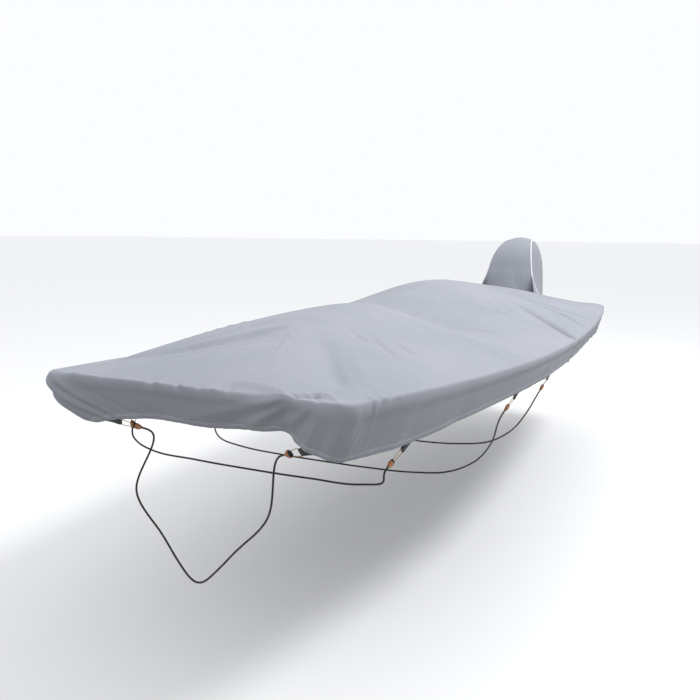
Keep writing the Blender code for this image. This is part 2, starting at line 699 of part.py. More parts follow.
def build_webbing(name, frame):
    """A strip of webbing folded into a loop, its plies sewn together behind the hem."""
    loop = column_table(LOOP_COLUMNS, LOOP)
    past = np.concatenate([loop["past_hem"], loop["past_hem"][-2::-1]])
    opening = np.concatenate([loop["half_open"], -loop["half_open"][-2::-1]])
    line = np.stack([past, opening], 1)
    run = np.roll(line, -1, 0) - np.roll(line, 1, 0)
    run /= np.linalg.norm(run, axis=1, keepdims=True)
    off = np.stack([-run[:, 1], run[:, 0]], 1) * WEBBING / 2
    reach = np.clip((past - past[0]) / (past.max() - past[0]), 0, 1)
    half = WEBBING_TOP_HALF + reach * (WEBBING_END_HALF - WEBBING_TOP_HALF)
    rings = [
        placed(frame, ring[:, 0], width * half, ring[:, 1])
        for width in (-1, 1)
        for ring in (line + off, line - off)
    ]
    count = len(line)
    faces = []
    for j in range(count):
        k = (j + 1) % count
        near_out, near_in, far_out, far_in = (base * count for base in range(4))
        faces.append((near_out + j, near_out + k, far_out + k, far_out + j))
        faces.append((near_in + k, near_in + j, far_in + j, far_in + k))
        faces.append((near_out + k, near_out + j, near_in + j, near_in + k))
        faces.append((far_out + j, far_out + k, far_in + k, far_in + j))
    return add_mesh(name, np.concatenate(rings), faces)


def build_hook(name, frame):
    """A bent wire bail: a crossbar inside the webbing loop and two legs down to the collar."""
    corner = HOOK_CORNER * (1 - np.cos(np.radians([0, 30, 60, 90])))
    rise = HOOK_CORNER * (1 - np.sin(np.radians([0, 30, 60, 90])))
    across = np.concatenate([[HOOK_END_HALF_WIDTH], HOOK_HALF_WIDTH - corner])
    pull = np.concatenate([[HOOK_END - SEAM_GAP], HOOK_START + rise])
    across = np.concatenate([across, -across[::-1]])
    pull = np.concatenate([pull, pull[::-1]])
    points = placed(frame, pull, across, 0.0)
    return add_tube(name, points, HOOK_WIRE, 3)


def add_tube(name, points, diameter, resolution):
    """A round tube along the points, its ends capped."""
    curve = bpy.data.curves.new(name, "CURVE")
    curve.dimensions = "3D"
    curve.resolution_u = 1
    curve.bevel_depth = diameter / 2
    curve.bevel_resolution = resolution
    curve.use_fill_caps = True
    spline = curve.splines.new("POLY")
    spline.points.add(len(points) - 1)
    for spot, point in zip(spline.points, points):
        spot.co = (*point, 1)
    tube = bpy.data.objects.new(name, curve)
    bpy.context.scene.collection.objects.link(tube)
    return tube


def build_lofted(name, frame, rings):
    """A solid through oval rings along the pull: each ring's place, half width and half depth."""
    turns = np.radians(np.arange(0, 360, 360 / OVAL_SIDES))
    sections = [
        placed(frame, pull, half_wide * np.cos(turns), half_deep * np.sin(turns))
        for pull, half_wide, half_deep in rings
    ]
    faces = [tuple(range(OVAL_SIDES))[::-1]]
    for ring in range(len(rings) - 1):
        for j in range(OVAL_SIDES):
            k = (j + 1) % OVAL_SIDES
            a, b = ring * OVAL_SIDES, (ring + 1) * OVAL_SIDES
            faces.append((a + j, a + k, b + k, b + j))
    faces.append(tuple((len(rings) - 1) * OVAL_SIDES + j for j in range(OVAL_SIDES)))
    return add_mesh(name, np.concatenate(sections), faces)


def build_fitting(stem, frame, materials):
    """One tie's webbing loop, wire hook, collar and tapered cap."""
    collar_end = HOOK_END + COLLAR_SIZE[2]
    cap_start = collar_end + SEAM_GAP
    cap_end = cap_start + CAP_SIZE[2]
    collar_half = (COLLAR_SIZE[0] / 2, COLLAR_SIZE[1] / 2)
    cap_half = (CAP_SIZE[0] / 2, CAP_SIZE[1] / 2)
    collar = ((HOOK_END, *collar_half), (collar_end, *collar_half))
    cap = (
        (cap_start, *cap_half),
        (cap_start + 0.35 * CAP_SIZE[2], cap_half[0] * 0.92, cap_half[1] * 0.96),
        (cap_start + 0.75 * CAP_SIZE[2], cap_half[0] * 0.62, cap_half[1] * 0.82),
        (cap_end, CAP_TAIL_RADIUS, CAP_TAIL_RADIUS),
    )
    things = {
        "webbing": build_webbing(f"{stem}_webbing", frame),
        "hook": build_hook(f"{stem}_hook", frame),
        "collar": build_lofted(f"{stem}_collar", frame, collar),
        "cap": build_lofted(f"{stem}_cap", frame, cap),
    }
    for part, thing in things.items():
        thing.data.materials.append(materials[part])
    return cap_end


def smooth_route(points, count):
    """Evenly spaced points on a smooth curve through the route's own points."""
    points = np.array(points, float)
    step = np.linalg.norm(np.diff(points, axis=0), axis=1)
    places = np.concatenate([[0], np.cumsum(step)])
    fine = np.linspace(0, places[-1], 20 * count)
    curve = np.stack([smooth_along(places, points[:, axis], fine) for axis in range(3)], 1)
    run = np.concatenate([[0], np.cumsum(np.linalg.norm(np.diff(curve, axis=0), axis=1))])
    even = np.linspace(0, run[-1], count)
    return np.stack([np.interp(even, run, curve[:, axis]) for axis in range(3)], 1)


def build_ties(materials):
    """All eight fittings, and the four cords that join each port fitting to its opposite."""
    for name in TIES:
        ends = {}
        for side, side_name in ((1, "port"), (-1, "starboard")):
            frame = tie_frame(name, side)
            tail = build_fitting(f"{name}_{side_name}", frame, materials)
            leads = np.array([0, 0.012, 0.030]) + tail + SEAM_GAP
            ends[side] = placed(frame, leads, 0.0, 0.0)
        under = np.array(CORD_ROUTES[name], float)
        back = under[-2::-1] * (-1, 1, 1)
        route = np.concatenate([ends[1], under, back, ends[-1][::-1]])
        cord = add_tube(f"{name}_cord", smooth_route(route, CORD_POINTS), CORD_DIAMETER, 2)
        cord.data.materials.append(materials["cord"])


def main():
    for thing in list(bpy.data.objects):
        bpy.data.objects.remove(thing, do_unlink=True)
    cloth = surface("coated_polyester", (0.50, 0.53, 0.59), 0.62)
    binding = surface("binding_tape", (0.72, 0.74, 0.78), 0.60)
    black = surface("black_webbing", (0.012, 0.012, 0.015), 0.75)
    wire = surface("zinc_plated_wire", (0.62, 0.49, 0.26), 0.32, 1.0)
    rubber = surface("black_rubber", (0.015, 0.015, 0.015), 0.55)
    amber = surface("amber_plastic", (0.62, 0.28, 0.09), 0.42)
    elastic = surface("elastic_cord", (0.014, 0.014, 0.017), 0.70)
    panels, normals = build_cloth(cloth)
    build_bindings(panels, normals, binding)
    build_ties({"webbing": black, "hook": wire, "collar": rubber, "cap": amber, "cord": elastic})


main()
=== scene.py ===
# Fitted boat cover with a motor hood: cloth, seams, webbing ties and elastic cords, as it hangs on the boat
import math

import bmesh
import bpy
import mathutils
import numpy as np
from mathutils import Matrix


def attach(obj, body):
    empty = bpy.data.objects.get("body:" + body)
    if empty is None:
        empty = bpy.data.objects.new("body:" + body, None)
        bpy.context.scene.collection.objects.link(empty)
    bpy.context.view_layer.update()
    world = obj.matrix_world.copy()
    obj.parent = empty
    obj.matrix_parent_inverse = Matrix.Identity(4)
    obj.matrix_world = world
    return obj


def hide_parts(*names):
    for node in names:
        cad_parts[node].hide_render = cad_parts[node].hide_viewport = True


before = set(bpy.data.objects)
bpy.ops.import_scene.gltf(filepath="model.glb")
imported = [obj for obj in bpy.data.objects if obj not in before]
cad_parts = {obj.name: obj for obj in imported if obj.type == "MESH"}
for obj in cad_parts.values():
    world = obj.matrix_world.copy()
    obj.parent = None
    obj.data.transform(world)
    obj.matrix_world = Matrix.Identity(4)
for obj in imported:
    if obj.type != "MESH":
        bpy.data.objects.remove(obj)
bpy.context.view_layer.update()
print("frame loaded")


# Small helpers

def columns(names, rows):  # a table's rows as one array for each named column
    return dict(zip(names, np.array(rows, float).T))


def smoothAlong(places, values, at):
    # Cubic through the values, its slope at each taken from its neighbours
    slopes = np.gradient(values, places)
    at = np.clip(at, places[0], places[-1])
    left = np.clip(np.searchsorted(places, at, side="right") - 1, 0, len(places) - 2)
    step = places[left + 1] - places[left]
    t = (at - places[left]) / step
    a = (1 + 2 * t) * (1 - t) ** 2 * values[left] + t * (1 - t) ** 2 * step * slopes[left]
    b = t**2 * (3 - 2 * t) * values[left + 1] + t**2 * (t - 1) * step * slopes[left + 1]
    return a + b


def unit(v):
    return v / np.maximum(np.linalg.norm(v, axis=-1, keepdims=True), 1e-12)


def mix(a, b, t):
    return a + (b - a) * t


# The cover's size and draped shape, in metres: bow along -Y, port side +X

cover = {
    "length": 4.89,  # bow edge to transom edge
    "bowHalf": 0.632,
    "beamHalf": 0.94,
    "sternHalf": 0.823,
    "beamPlace": 0.586,  # widest station, share of the length
    "bowRise": 0.09,
    "sternRise": 0.03,
    "cornerRadius": 0.065,
    "starboardSlack": 0.12,  # cloth stands out round the starboard bow corner
    "slackLength": 0.9,
    "seamY": -0.95,  # joint between the fore and aft side skirts
    "hoodHalf": 0.30,
    "hoodDepth": 0.245,
    "bandTurn": 28,  # degrees round the foot at which the hood's middle band starts
    "spineFore": 0.70,  # the deck's rings start this far inside each end
    "spineAft": 0.90,
    "clothThick": 0.0009,
}
bowY, sternY = -cover["length"] / 2, cover["length"] / 2

crown = columns(("y", "rise", "ridge", "starboard", "port"), (
    (-2.445, 0.000, 0.00, 2.0, 2.0),
    (-2.200, 0.085, 0.00, 2.2, 1.8),
    (-1.850, 0.170, 0.00, 2.1, 1.5),
    (-1.450, 0.225, 0.00, 1.9, 1.2),
    (-1.000, 0.245, 0.00, 1.8, 0.95),
    (-0.500, 0.235, -0.05, 1.8, 0.95),
    (0.000, 0.260, -0.10, 1.7, 1.1),
    (0.550, 0.300, -0.10, 1.7, 1.2),
    (1.000, 0.275, -0.05, 1.6, 1.2),
    (1.600, 0.215, 0.00, 1.5, 1.3),
    (2.100, 0.150, 0.00, 1.4, 1.4),
    (2.445, 0.080, 0.00, 1.3, 1.6),
))
mounds = columns(("x", "y", "height", "halfX", "halfY"), (
    (0.02, -1.00, 0.010, 0.42, 0.30),
    (0.16, -0.40, -0.080, 0.42, 0.20),
    (-0.12, 0.60, 0.020, 0.40, 0.50),
    (0.62, 2.30, -0.030, 0.22, 0.20),
    (0.78, 2.42, 0.020, 0.10, 0.10),
    (-0.62, 2.30, -0.030, 0.22, 0.20),
))
hem = columns(("y", "port", "starboard"), (
    (-2.445, 0.235, 0.215),
    (-1.900, 0.220, 0.215),
    (-1.300, 0.182, 0.190),
    (-0.600, 0.160, 0.165),
    (0.500, 0.135, 0.140),
    (1.100, 0.130, 0.135),
    (1.700, 0.158, 0.150),
    (2.445, 0.215, 0.205),
))
bowHem = columns(("x", "drop"), (
    (-0.632, 0.215), (-0.500, 0.190), (-0.250, 0.165), (0.000, 0.172),
    (0.250, 0.158), (0.400, 0.162), (0.500, 0.205), (0.632, 0.235),
))
skirt = {
    "transomDrop": 0.20,
    "tuck": 0.09,  # the hem lies this far inside the gunwale at the bow
    "tuckAft": 0.045,
    "tuckLength": 2.2,
    "cornerLength": 0.5,
    "roll": 0.005,
    "rows": (0, .012, .03, .055, .085, .12, .16, .20, .245, .29, .34, .39, .44, .49, .54, .59, .64, .69,
             .74, .785, .83, .865, .885, .90, .915, .93, .945, .96, .975, .99, 1.0),
}
flutes = columns(("x", "y", "depth", "half"), (
    (0.18, -2.445, -0.010, 0.05), (0.30, -2.445, 0.012, 0.05), (0.39, -2.445, -0.012, 0.05),
    (0.51, -2.445, 0.007, 0.08), (-0.56, -2.445, -0.010, 0.07), (-0.40, -2.445, 0.008, 0.05),
    (0.70, -2.05, 0.008, 0.06), (0.78, -1.55, -0.008, 0.08), (0.91, -0.40, 0.006, 0.08),
    (0.90, 1.30, -0.008, 0.05), (0.87, 1.85, 0.008, 0.04), (0.84, 2.15, -0.008, 0.04),
    (-0.75, -1.80, 0.008, 0.07), (-0.90, 0.60, -0.008, 0.08), (-0.86, 1.90, 0.008, 0.05),
))
puffs = columns(("x", "y", "depth", "half"), (
    (-0.700, -2.420, 0.042, 0.14), (0.632, -2.445, 0.010, 0.10), (0.250, -2.445, 0.012, 0.16),
))

# Creases in the deck cloth: a line of three points in plan, its depth (negative is a trough), its half
# width, and how much steeper its far side is than its near side
creases = columns(("x0", "y0", "x1", "y1", "x2", "y2", "depth", "half", "skew"), (
    (0.44, 0.69, 0.70, 0.44, 0.96, 0.20, -0.020, 0.020, 0.5),  # deep pleats towards the port gunwale
    (0.47, 0.73, 0.73, 0.49, 0.96, 0.26, 0.007, 0.016, 0.0),
    (0.28, 1.17, 0.60, 1.18, 0.92, 1.28, -0.014, 0.016, 0.4),
    (0.26, 1.22, 0.58, 1.24, 0.92, 1.34, 0.005, 0.018, 0.0),
    (0.40, 1.08, 0.62, 1.02, 0.86, 1.02, -0.011, 0.015, 0.4),
    (0.64, 1.06, 0.80, 0.90, 0.94, 0.74, -0.009, 0.014, 0.3),
    (0.74, 0.98, 0.86, 0.84, 0.95, 0.66, 0.005, 0.014, 0.0),
    (0.55, 1.32, 0.74, 1.38, 0.92, 1.46, -0.007, 0.018, 0.2),
    (0.32, 2.09, 0.60, 2.04, 0.86, 2.05, -0.008, 0.022, 0.3),
    (0.34, 1.80, 0.62, 1.76, 0.90, 1.80, -0.006, 0.024, 0.2),
    (0.20, 0.76, 0.38, 0.49, 0.56, 0.25, -0.008, 0.026, 0.2),  # fan below the hood
    (0.24, 0.46, 0.34, 0.32, 0.48, 0.17, -0.006, 0.022, 0.2),
    (0.30, 0.82, 0.48, 0.55, 0.66, 0.33, -0.005, 0.022, 0.0),
    (0.38, -0.86, 0.60, -0.83, 0.86, -0.84, -0.0050, 0.011, 0.3),  # thin creases amidships
    (0.50, -0.92, 0.66, -0.93, 0.80, -0.95, -0.0040, 0.010, 0.3),
    (0.44, -0.80, 0.66, -0.74, 0.84, -0.74, -0.0035, 0.011, 0.2),
    (0.56, -0.74, 0.70, -0.52, 0.84, -0.28, -0.0040, 0.013, 0.3),
    (0.22, -0.36, 0.40, -0.31, 0.60, -0.26, -0.0045, 0.014, 0.2),
    (0.50, -0.20, 0.66, -0.10, 0.84, -0.04, -0.0030, 0.014, 0.0),
    (0.20, -1.56, 0.28, -1.62, 0.36, -1.68, -0.0055, 0.014, 0.3),  # near side of the fore mound
    (0.25, -1.52, 0.36, -1.60, 0.52, -1.73, -0.0055, 0.013, 0.3),
    (0.39, -1.48, 0.45, -1.53, 0.54, -1.60, -0.0045, 0.012, 0.3),
    (0.22, -1.82, 0.39, -2.09, 0.52, -2.27, -0.010, 0.050, 0.3),
    (0.32, -1.80, 0.48, -2.02, 0.60, -2.18, 0.005, 0.040, 0.0),
    (0.02, -1.62, 0.09, -1.88, 0.16, -2.13, 0.0028, 0.008, 0.0),  # a pressed fold line
    (0.11, 0.42, 0.13, 0.28, 0.15, 0.16, 0.0025, 0.008, 0.0),
    (-0.50, -2.20, -0.20, -2.06, 0.02, -1.72, -0.011, 0.022, 0.4),  # pulls from the starboard bow
    (-0.40, -2.25, -0.14, -2.04, 0.10, -1.83, -0.009, 0.020, 0.3),
    (-0.44, -2.16, -0.16, -1.98, 0.02, -1.66, 0.006, 0.018, 0.0),
    (-0.30, -2.28, -0.06, -2.06, 0.16, -1.90, -0.005, 0.018, 0.2),
    (-0.60, -2.26, -0.34, -2.00, -0.10, -1.58, -0.010, 0.026, 0.3),
    (-0.62, -2.30, -0.42, -1.98, -0.22, -1.52, 0.007, 0.026, 0.0),
    (0.12, -2.37, 0.28, -2.392, 0.43, -2.445, 0.012, 0.020, 0.7),  # fold that runs over the bow edge
    (0.38, -2.425, 0.45, -2.402, 0.52, -2.372, -0.012, 0.010, 0.6),
    (0.46, -2.350, 0.52, -2.375, 0.58, -2.41, 0.006, 0.016, 0.0),
    (-0.10, 1.70, -0.46, 1.78, -0.84, 1.85, -0.014, 0.040, 0.2),  # starboard side
    (-0.20, 1.10, -0.50, 1.02, -0.90, 1.02, -0.009, 0.026, 0.2),
    (-0.22, 0.40, -0.52, 0.30, -0.92, 0.24, -0.008, 0.026, 0.2),
    (-0.30, -0.40, -0.56, -0.46, -0.90, -0.50, -0.008, 0.026, 0.2),
    (-0.34, -0.95, -0.56, -1.02, -0.86, -1.06, -0.007, 0.022, 0.2),
    (-0.30, 2.12, -0.58, 2.06, -0.84, 2.08, -0.009, 0.024, 0.3),
    (-0.32, 1.90, -0.60, 1.93, -0.84, 2.00, -0.007, 0.022, 0.2),
))

creaseScale = {"depth": 1.9, "half": 0.9}  # sets all the deck's creases together

# Puckers at the cover's edge: distance round it from the bow's middle (port positive), depth, half
# width along it, reach up the deck and down the skirt
puckers = columns(("at", "depth", "half", "deckReach", "skirtReach"), (
    (-0.56, 0.006, 0.020, 0.05, 0.03), (-0.43, -0.005, 0.018, 0.04, 0.03), (-0.19, -0.008, 0.014, 0.05, 0.03),
    (-0.155, 0.006, 0.012, 0.04, 0.02), (-0.07, -0.010, 0.011, 0.05, 0.03),
    (-0.045, 0.007, 0.010, 0.04, 0.02),
    (0.03, -0.006, 0.014, 0.05, 0.03), (0.10, 0.006, 0.015, 0.04, 0.02), (0.16, -0.006, 0.014, 0.05, 0.02),
    (0.52, -0.006, 0.012, 0.05, 0.03), (0.60, 0.004, 0.016, 0.04, 0.03),
    (0.745, -0.008, 0.010, 0.05, 0.04), (0.765, 0.006, 0.008, 0.04, 0.07), (0.80, -0.007, 0.010, 0.05, 0.02),
    (0.83, 0.005, 0.010, 0.04, 0.02), (0.87, -0.005, 0.012, 0.05, 0.02), (0.92, 0.003, 0.012, 0.04, 0.02),
    (4.02, -0.006, 0.018, 0.05, 0.03), (4.30, -0.007, 0.018, 0.06, 0.03), (4.42, 0.005, 0.018, 0.05, 0.03),
    (4.55, -0.006, 0.018, 0.06, 0.03), (4.70, 0.005, 0.020, 0.05, 0.03), (4.86, -0.005, 0.018, 0.05, 0.03),
    (5.10, 0.004, 0.020, 0.05, 0.03), (5.30, -0.004, 0.020, 0.05, 0.03),
))

# Folds in the skirt: from one place to another, each as a distance round the edge and a share of the
# way down to the hem, with the height (positive stands out) and half width
skirtFolds = columns(("at0", "down0", "at1", "down1", "height", "half"), (
    (0.43, 0.08, 0.14, 0.80, -0.007, 0.020),  # fan under the port end of the bow edge
    (0.42, 0.04, 0.06, 0.60, 0.006, 0.022),
    (0.45, 0.10, 0.22, 0.90, 0.007, 0.017),
    (0.46, 0.12, 0.29, 0.95, -0.008, 0.017),
    (0.48, 0.12, 0.36, 1.00, 0.007, 0.016),
    (0.50, 0.14, 0.42, 0.98, -0.006, 0.015),
    (0.53, 0.20, 0.49, 1.00, 0.005, 0.015),
    (0.57, 0.40, 0.55, 1.00, -0.005, 0.014),
    (0.62, 0.25, 0.60, 0.95, 0.004, 0.012),
    (0.71, 0.30, 0.66, 0.95, 0.004, 0.010),
    (0.765, 0.00, 0.775, 0.36, 0.0035, 0.005),  # dart at the port corner
    (0.87, 0.30, 0.80, 0.95, -0.003, 0.014),
    (1.74, 0.10, 1.56, 0.95, 0.0025, 0.010),
    (1.20, 0.15, 1.05, 0.90, -0.0025, 0.020),
    (2.60, 0.30, 2.40, 0.95, 0.0030, 0.016),
    (3.10, 0.10, 2.95, 0.95, -0.0030, 0.016),
    (4.05, 0.00, 3.95, 0.95, -0.0050, 0.016),
    (4.28, 0.00, 4.20, 0.95, 0.0050, 0.016),
    (4.40, 0.00, 4.34, 0.95, -0.0060, 0.016),
    (4.54, 0.00, 4.49, 0.95, 0.0060, 0.016),
    (4.68, 0.00, 4.64, 0.95, -0.0060, 0.016),
    (4.84, 0.00, 4.81, 0.95, 0.0050, 0.016),
    (5.05, 0.00, 5.03, 0.95, -0.0050, 0.020),
    (5.30, 0.00, 5.28, 0.95, 0.0040, 0.020),
    (-0.83, 0.02, -0.62, 0.98, 0.008, 0.016),  # stripes round the starboard bow corner
    (-0.79, 0.02, -0.585, 0.98, -0.008, 0.014),
    (-0.75, 0.02, -0.55, 0.98, 0.007, 0.013),
    (-0.71, 0.02, -0.52, 0.98, -0.007, 0.013),
    (-0.67, 0.02, -0.485, 0.98, 0.005, 0.012),
    (-0.60, 0.10, -0.36, 0.90, -0.004, 0.018),
    (-0.30, 0.20, -0.20, 0.90, 0.003, 0.024),
    (-0.06, 0.25, -0.02, 0.95, -0.003, 0.020),
    (-1.30, 0.10, -1.20, 0.95, -0.004, 0.020),
    (-2.40, 0.10, -2.25, 0.95, 0.004, 0.020),
    (-3.40, 0.10, -3.30, 0.95, -0.004, 0.020),
    (-4.50, 0.00, -4.45, 0.95, 0.005, 0.018),
    (-4.80, 0.00, -4.78, 0.95, -0.005, 0.018),
))


def halfWidth(y):  # the gunwale in plan: one parabola forward of the widest station and one aft of it
    place = (np.asarray(y, float) - bowY) / cover["length"]
    fore = np.clip((cover["beamPlace"] - place) / cover["beamPlace"], 0, None)
    aft = np.clip((place - cover["beamPlace"]) / (1 - cover["beamPlace"]), 0, None)
    beam = cover["beamHalf"]
    narrowing = (beam - cover["bowHalf"]) * fore**2 + (beam - cover["sternHalf"]) * aft**2
    return beam - narrowing


def gunwaleHeight(y):  # the sheer rises as a square towards the bow and the stern
    place = (np.asarray(y, float) - bowY) / cover["length"]
    fore = np.clip((cover["beamPlace"] - place) / cover["beamPlace"], 0, None)
    aft = np.clip((place - cover["beamPlace"]) / (1 - cover["beamPlace"]), 0, None)
    return cover["bowRise"] * fore**2 + cover["sternRise"] * aft**2


def starboardSpread(y):  # the starboard side's width over the port side's: a bell at the bow
    return 1 + cover["starboardSlack"] * np.exp(-(((y - bowY) / cover["slackLength"]) ** 2))


def drapedHeight(x, y):
    # Sheer, plus a crown that falls from the ridge to the gunwale by a power of the way out, plus
    # round bells for the mounds, which die out at the gunwale
    wanted = ("rise", "ridge", "starboard", "port")
    rise, ridge, starboard, port = (smoothAlong(crown["y"], crown[k], y) for k in wanted)
    side = np.where(x > ridge, 1.0, -1.0)
    share = np.clip(np.abs(x - ridge) / np.clip(halfWidth(y) - side * ridge, 0.05, None), 0, 1)
    power = np.where(x > ridge, port, starboard)
    height = gunwaleHeight(y) + rise * (1 - share**power * (1 - 0.25 * np.exp(-((share / 0.25) ** 2))))
    inside = np.clip(1 - share**4, 0, 1)
    for mx, my, size, hx, hy in zip(*mounds.values()):
        height = height + size * inside * np.exp(-(((x - mx) / hx) ** 2) - ((y - my) / hy) ** 2)
    return height


def creaseHeight(x, y):
    # Each crease: depth times a bell of the distance from its curve (a parabola through its three
    # points), one flank steeper than the other, fading out at both ends
    total = np.zeros_like(x)
    for x0, y0, x1, y1, x2, y2, depth, half, skew in zip(*creases.values()):
        depth, half = depth * creaseScale["depth"], half * creaseScale["half"]
        run = np.array([x2 - x0, y2 - y0])
        length = np.hypot(*run)
        ux, uy = run / length
        near = (np.abs(x - x1) < length) & (np.abs(y - y1) < length)
        px, py = x[near] - x0, y[near] - y0
        along = (px * ux + py * uy) / length
        off = px * uy - py * ux
        mid = (x1 - x0) * uy - (y1 - y0) * ux
        off = off - 4 * mid * along * (1 - along)
        flank = half * (1 + skew * np.tanh(off / half))
        fade = np.clip(1 - (2 * along - 1) ** 4, 0, 1) * np.clip(0.55 + 0.6 * along, 0, 1)
        total[near] += depth * fade * np.exp(-((off / flank) ** 2))
    return total


# The cloth is one ring grid: rings from the spine out to the edge, then skirt rows down to the hem

def arc(cx, cy, start, end, count):
    turns = np.radians(np.linspace(start, end, count))
    r = cover["cornerRadius"]
    return np.stack([cx + r * np.cos(turns), cy + r * np.sin(turns)], 1)


def edgeStations():  # port half of the edge in plan, from the bow's middle to the middle of the hood's foot
    r = cover["cornerRadius"]
    bowSide, sternSide = float(halfWidth(bowY + r)), float(halfWidth(sternY - r))
    bow = np.stack([np.linspace(0, bowSide - r, 76), np.full(76, bowY)], 1)
    corner = arc(bowSide - r, bowY + r, -90, 0, 15)[1:]
    foreY = np.linspace(bowY + r, cover["seamY"], 141)[1:]
    aftY = np.concatenate([
        np.linspace(cover["seamY"], 0.1, 90)[1:],
        np.linspace(0.1, 1.5, 140)[1:],
        np.linspace(1.5, sternY - r, 80)[1:],
    ])
    fore = np.stack([halfWidth(foreY), foreY], 1)
    sternCorner = arc(sternSide - r, sternY - r, 0, 90, 13)[1:]
    aft = np.concatenate([np.stack([halfWidth(aftY), aftY], 1), sternCorner])
    transom = np.stack([np.linspace(sternSide - r, cover["hoodHalf"], 42)[1:], np.full(41, sternY)], 1)
    turns = np.radians(np.linspace(0, 90, 40)[1:])
    foot = np.stack([cover["hoodHalf"] * np.cos(turns), sternY - cover["hoodDepth"] * np.sin(turns)], 1)
    return {"bow": bow, "corner": corner, "fore": fore, "aft": aft, "transom": transom, "foot": foot}


parts = edgeStations()
halfEdge = np.concatenate(list(parts.values()))
halfEdge[-1, 0] = 0
otherHalf = halfEdge[-2:0:-1] * (-1, 1)
otherHalf[:, 0] *= starboardSpread(otherHalf[:, 1])
edge = np.concatenate([halfEdge, otherHalf])
stationCount = len(edge)
ends = np.cumsum([len(v) for v in parts.values()]) - 1  # last station of each part
bowEnd, cornerEnd, foreEnd, aftEnd, transomEnd, footEnd = ends

runBack = np.linalg.norm(np.roll(edge, -1, 0) - edge, axis=1)
edgeAt = np.concatenate([[0], np.cumsum(runBack)[:-1]])  # distance round the edge, port positive
edgeAt = np.where(np.arange(stationCount) > footEnd, edgeAt - runBack.sum(), edgeAt)

tangent = unit(np.roll(edge, -1, 0) - np.roll(edge, 1, 0))
outward = np.stack([tangent[:, 1], -tangent[:, 0]], 1)
for index in (transomEnd, stationCount - transomEnd):
    outward[index] = (0, 1)

ringCount = 34
# Share of even spacing left at the edge, and how fast the rings crowd there
ringPlan = {"edgeSpacing": 0.085, "power": 1.55}


def deckRings():
    # Straight lines from the spine to each station, cut into rings that crowd towards the edge, and
    # swung outwards a little so that they pass round the hood's foot
    spineY = np.clip(edge[:, 1], bowY + cover["spineFore"], sternY - cover["spineAft"])
    spine = np.stack([np.zeros(stationCount), spineY], 1)
    t = np.linspace(0, 1, ringCount)
    k = ringPlan["edgeSpacing"]
    shares = 1 - (k * (1 - t) + (1 - k) * (1 - t) ** ringPlan["power"])
    plan = spine + shares[:, None, None] * (edge - spine)
    near = np.exp(-(((np.abs(edge[:, 0]) - cover["hoodHalf"]) / 0.25) ** 2))
    swing = 0.055 * edge[:, 0] / cover["hoodHalf"] * near * (edge[:, 1] > 0)
    plan[..., 0] += swing * 6.75 * (shares**2 * (1 - shares))[:, None]
    x, y = plan[..., 0], plan[..., 1]
    return np.dstack([x, y, drapedHeight(x, y) + creaseHeight(x, y)])


def hemDrop(xy):  # skirt depth at each station from the side tables, the bow table or the transom
    x, y = xy.T
    side = np.where(x > 0, smoothAlong(hem["y"], hem["port"], y), smoothAlong(hem["y"], hem["starboard"], y))
    bow = smoothAlong(bowHem["x"], bowHem["drop"], x)
    r = cover["cornerRadius"]
    atBow = np.clip((bowY + r - y) / r, 0, 1)
    atStern = np.clip((y - sternY + r) / r, 0, 1)
    return side + atBow * (bow - side) + atStern * (skirt["transomDrop"] - side)


def tucked(xy):  # how far the hem lies inside the gunwale, the corners moving as one
    x, y = xy.T
    fromBow, fromStern = y - bowY, sternY - y
    nearBow = np.clip(1 - fromBow / skirt["tuckLength"], 0, 1) ** 1.5
    inward = skirt["tuckAft"] + (skirt["tuck"] - skirt["tuckAft"]) * nearBow
    back = skirt["tuck"] * np.clip(1 - fromBow / skirt["cornerLength"], 0, 1) ** 2
    forward = skirt["tuckAft"] * np.clip(1 - fromStern / skirt["cornerLength"], 0, 1) ** 2
    return np.stack([-inward * np.clip(x / halfWidth(y), -1, 1), back - forward], 1)


def standOut(xy, table):  # sum of round bells about the table's places
    total = np.zeros(len(xy))
    for x, y, depth, half in zip(*table.values()):
        total += depth * np.exp(-((xy[:, 0] - x) ** 2 + (xy[:, 1] - y) ** 2) / half**2)
    return total


def skirtSurface(xy, level, shares, at=None):
    # Outwards: a half sine for the roll over the gunwale, flutes growing to the hem, puffs between.
    # Downwards: straight to the hem, while the tuck moves it inwards as the power 1.3 of the way down
    shares = np.asarray(shares, float)[:, None]
    out = skirt["roll"] * np.sin(np.pi * np.clip(shares * 3, 0, 1)) + standOut(xy, flutes) * shares
    out = out + standOut(xy, puffs) * np.sin(np.pi * shares) ** 0.7
    if at is not None:
        out = out + skirtFoldHeight(at, shares) + hemRipple(at, shares)
    plan = xy + out[..., None] * level + (shares**1.3)[..., None] * tucked(xy)
    top = drapedHeight(xy[:, 0], xy[:, 1]) + creaseHeight(xy[:, 0].copy(), xy[:, 1].copy())
    return np.dstack([plan, top - shares * hemDrop(xy)])


def skirtFoldHeight(at, shares):  # bells across lines drawn on the skirt, fading at both ends
    total = np.zeros((len(shares), len(at)))
    for at0, down0, at1, down1, height, half in zip(*skirtFolds.values()):
        t = (shares - down0) / (down1 - down0)
        middle = at0 + (at1 - at0) * t
        slant = math.hypot((at1 - at0), 0.18 * (down1 - down0)) / (0.18 * abs(down1 - down0))
        across = (at[None, :] - middle) / slant
        fade = np.clip(1 - (2 * np.clip(t, 0, 1) - 1) ** 4, 0, 1) * (t > 0) * (t < 1.25)
        fade = np.where(t > 0.5, np.clip(1.15 - 0.3 * np.clip(t, 0, 1), 0, 1), fade)
        total += height * fade * (t > 0) * np.exp(-((across / half) ** 2))
    return total


hemWave = {"height": 0.0016, "length": 0.047, "from": 0.80}


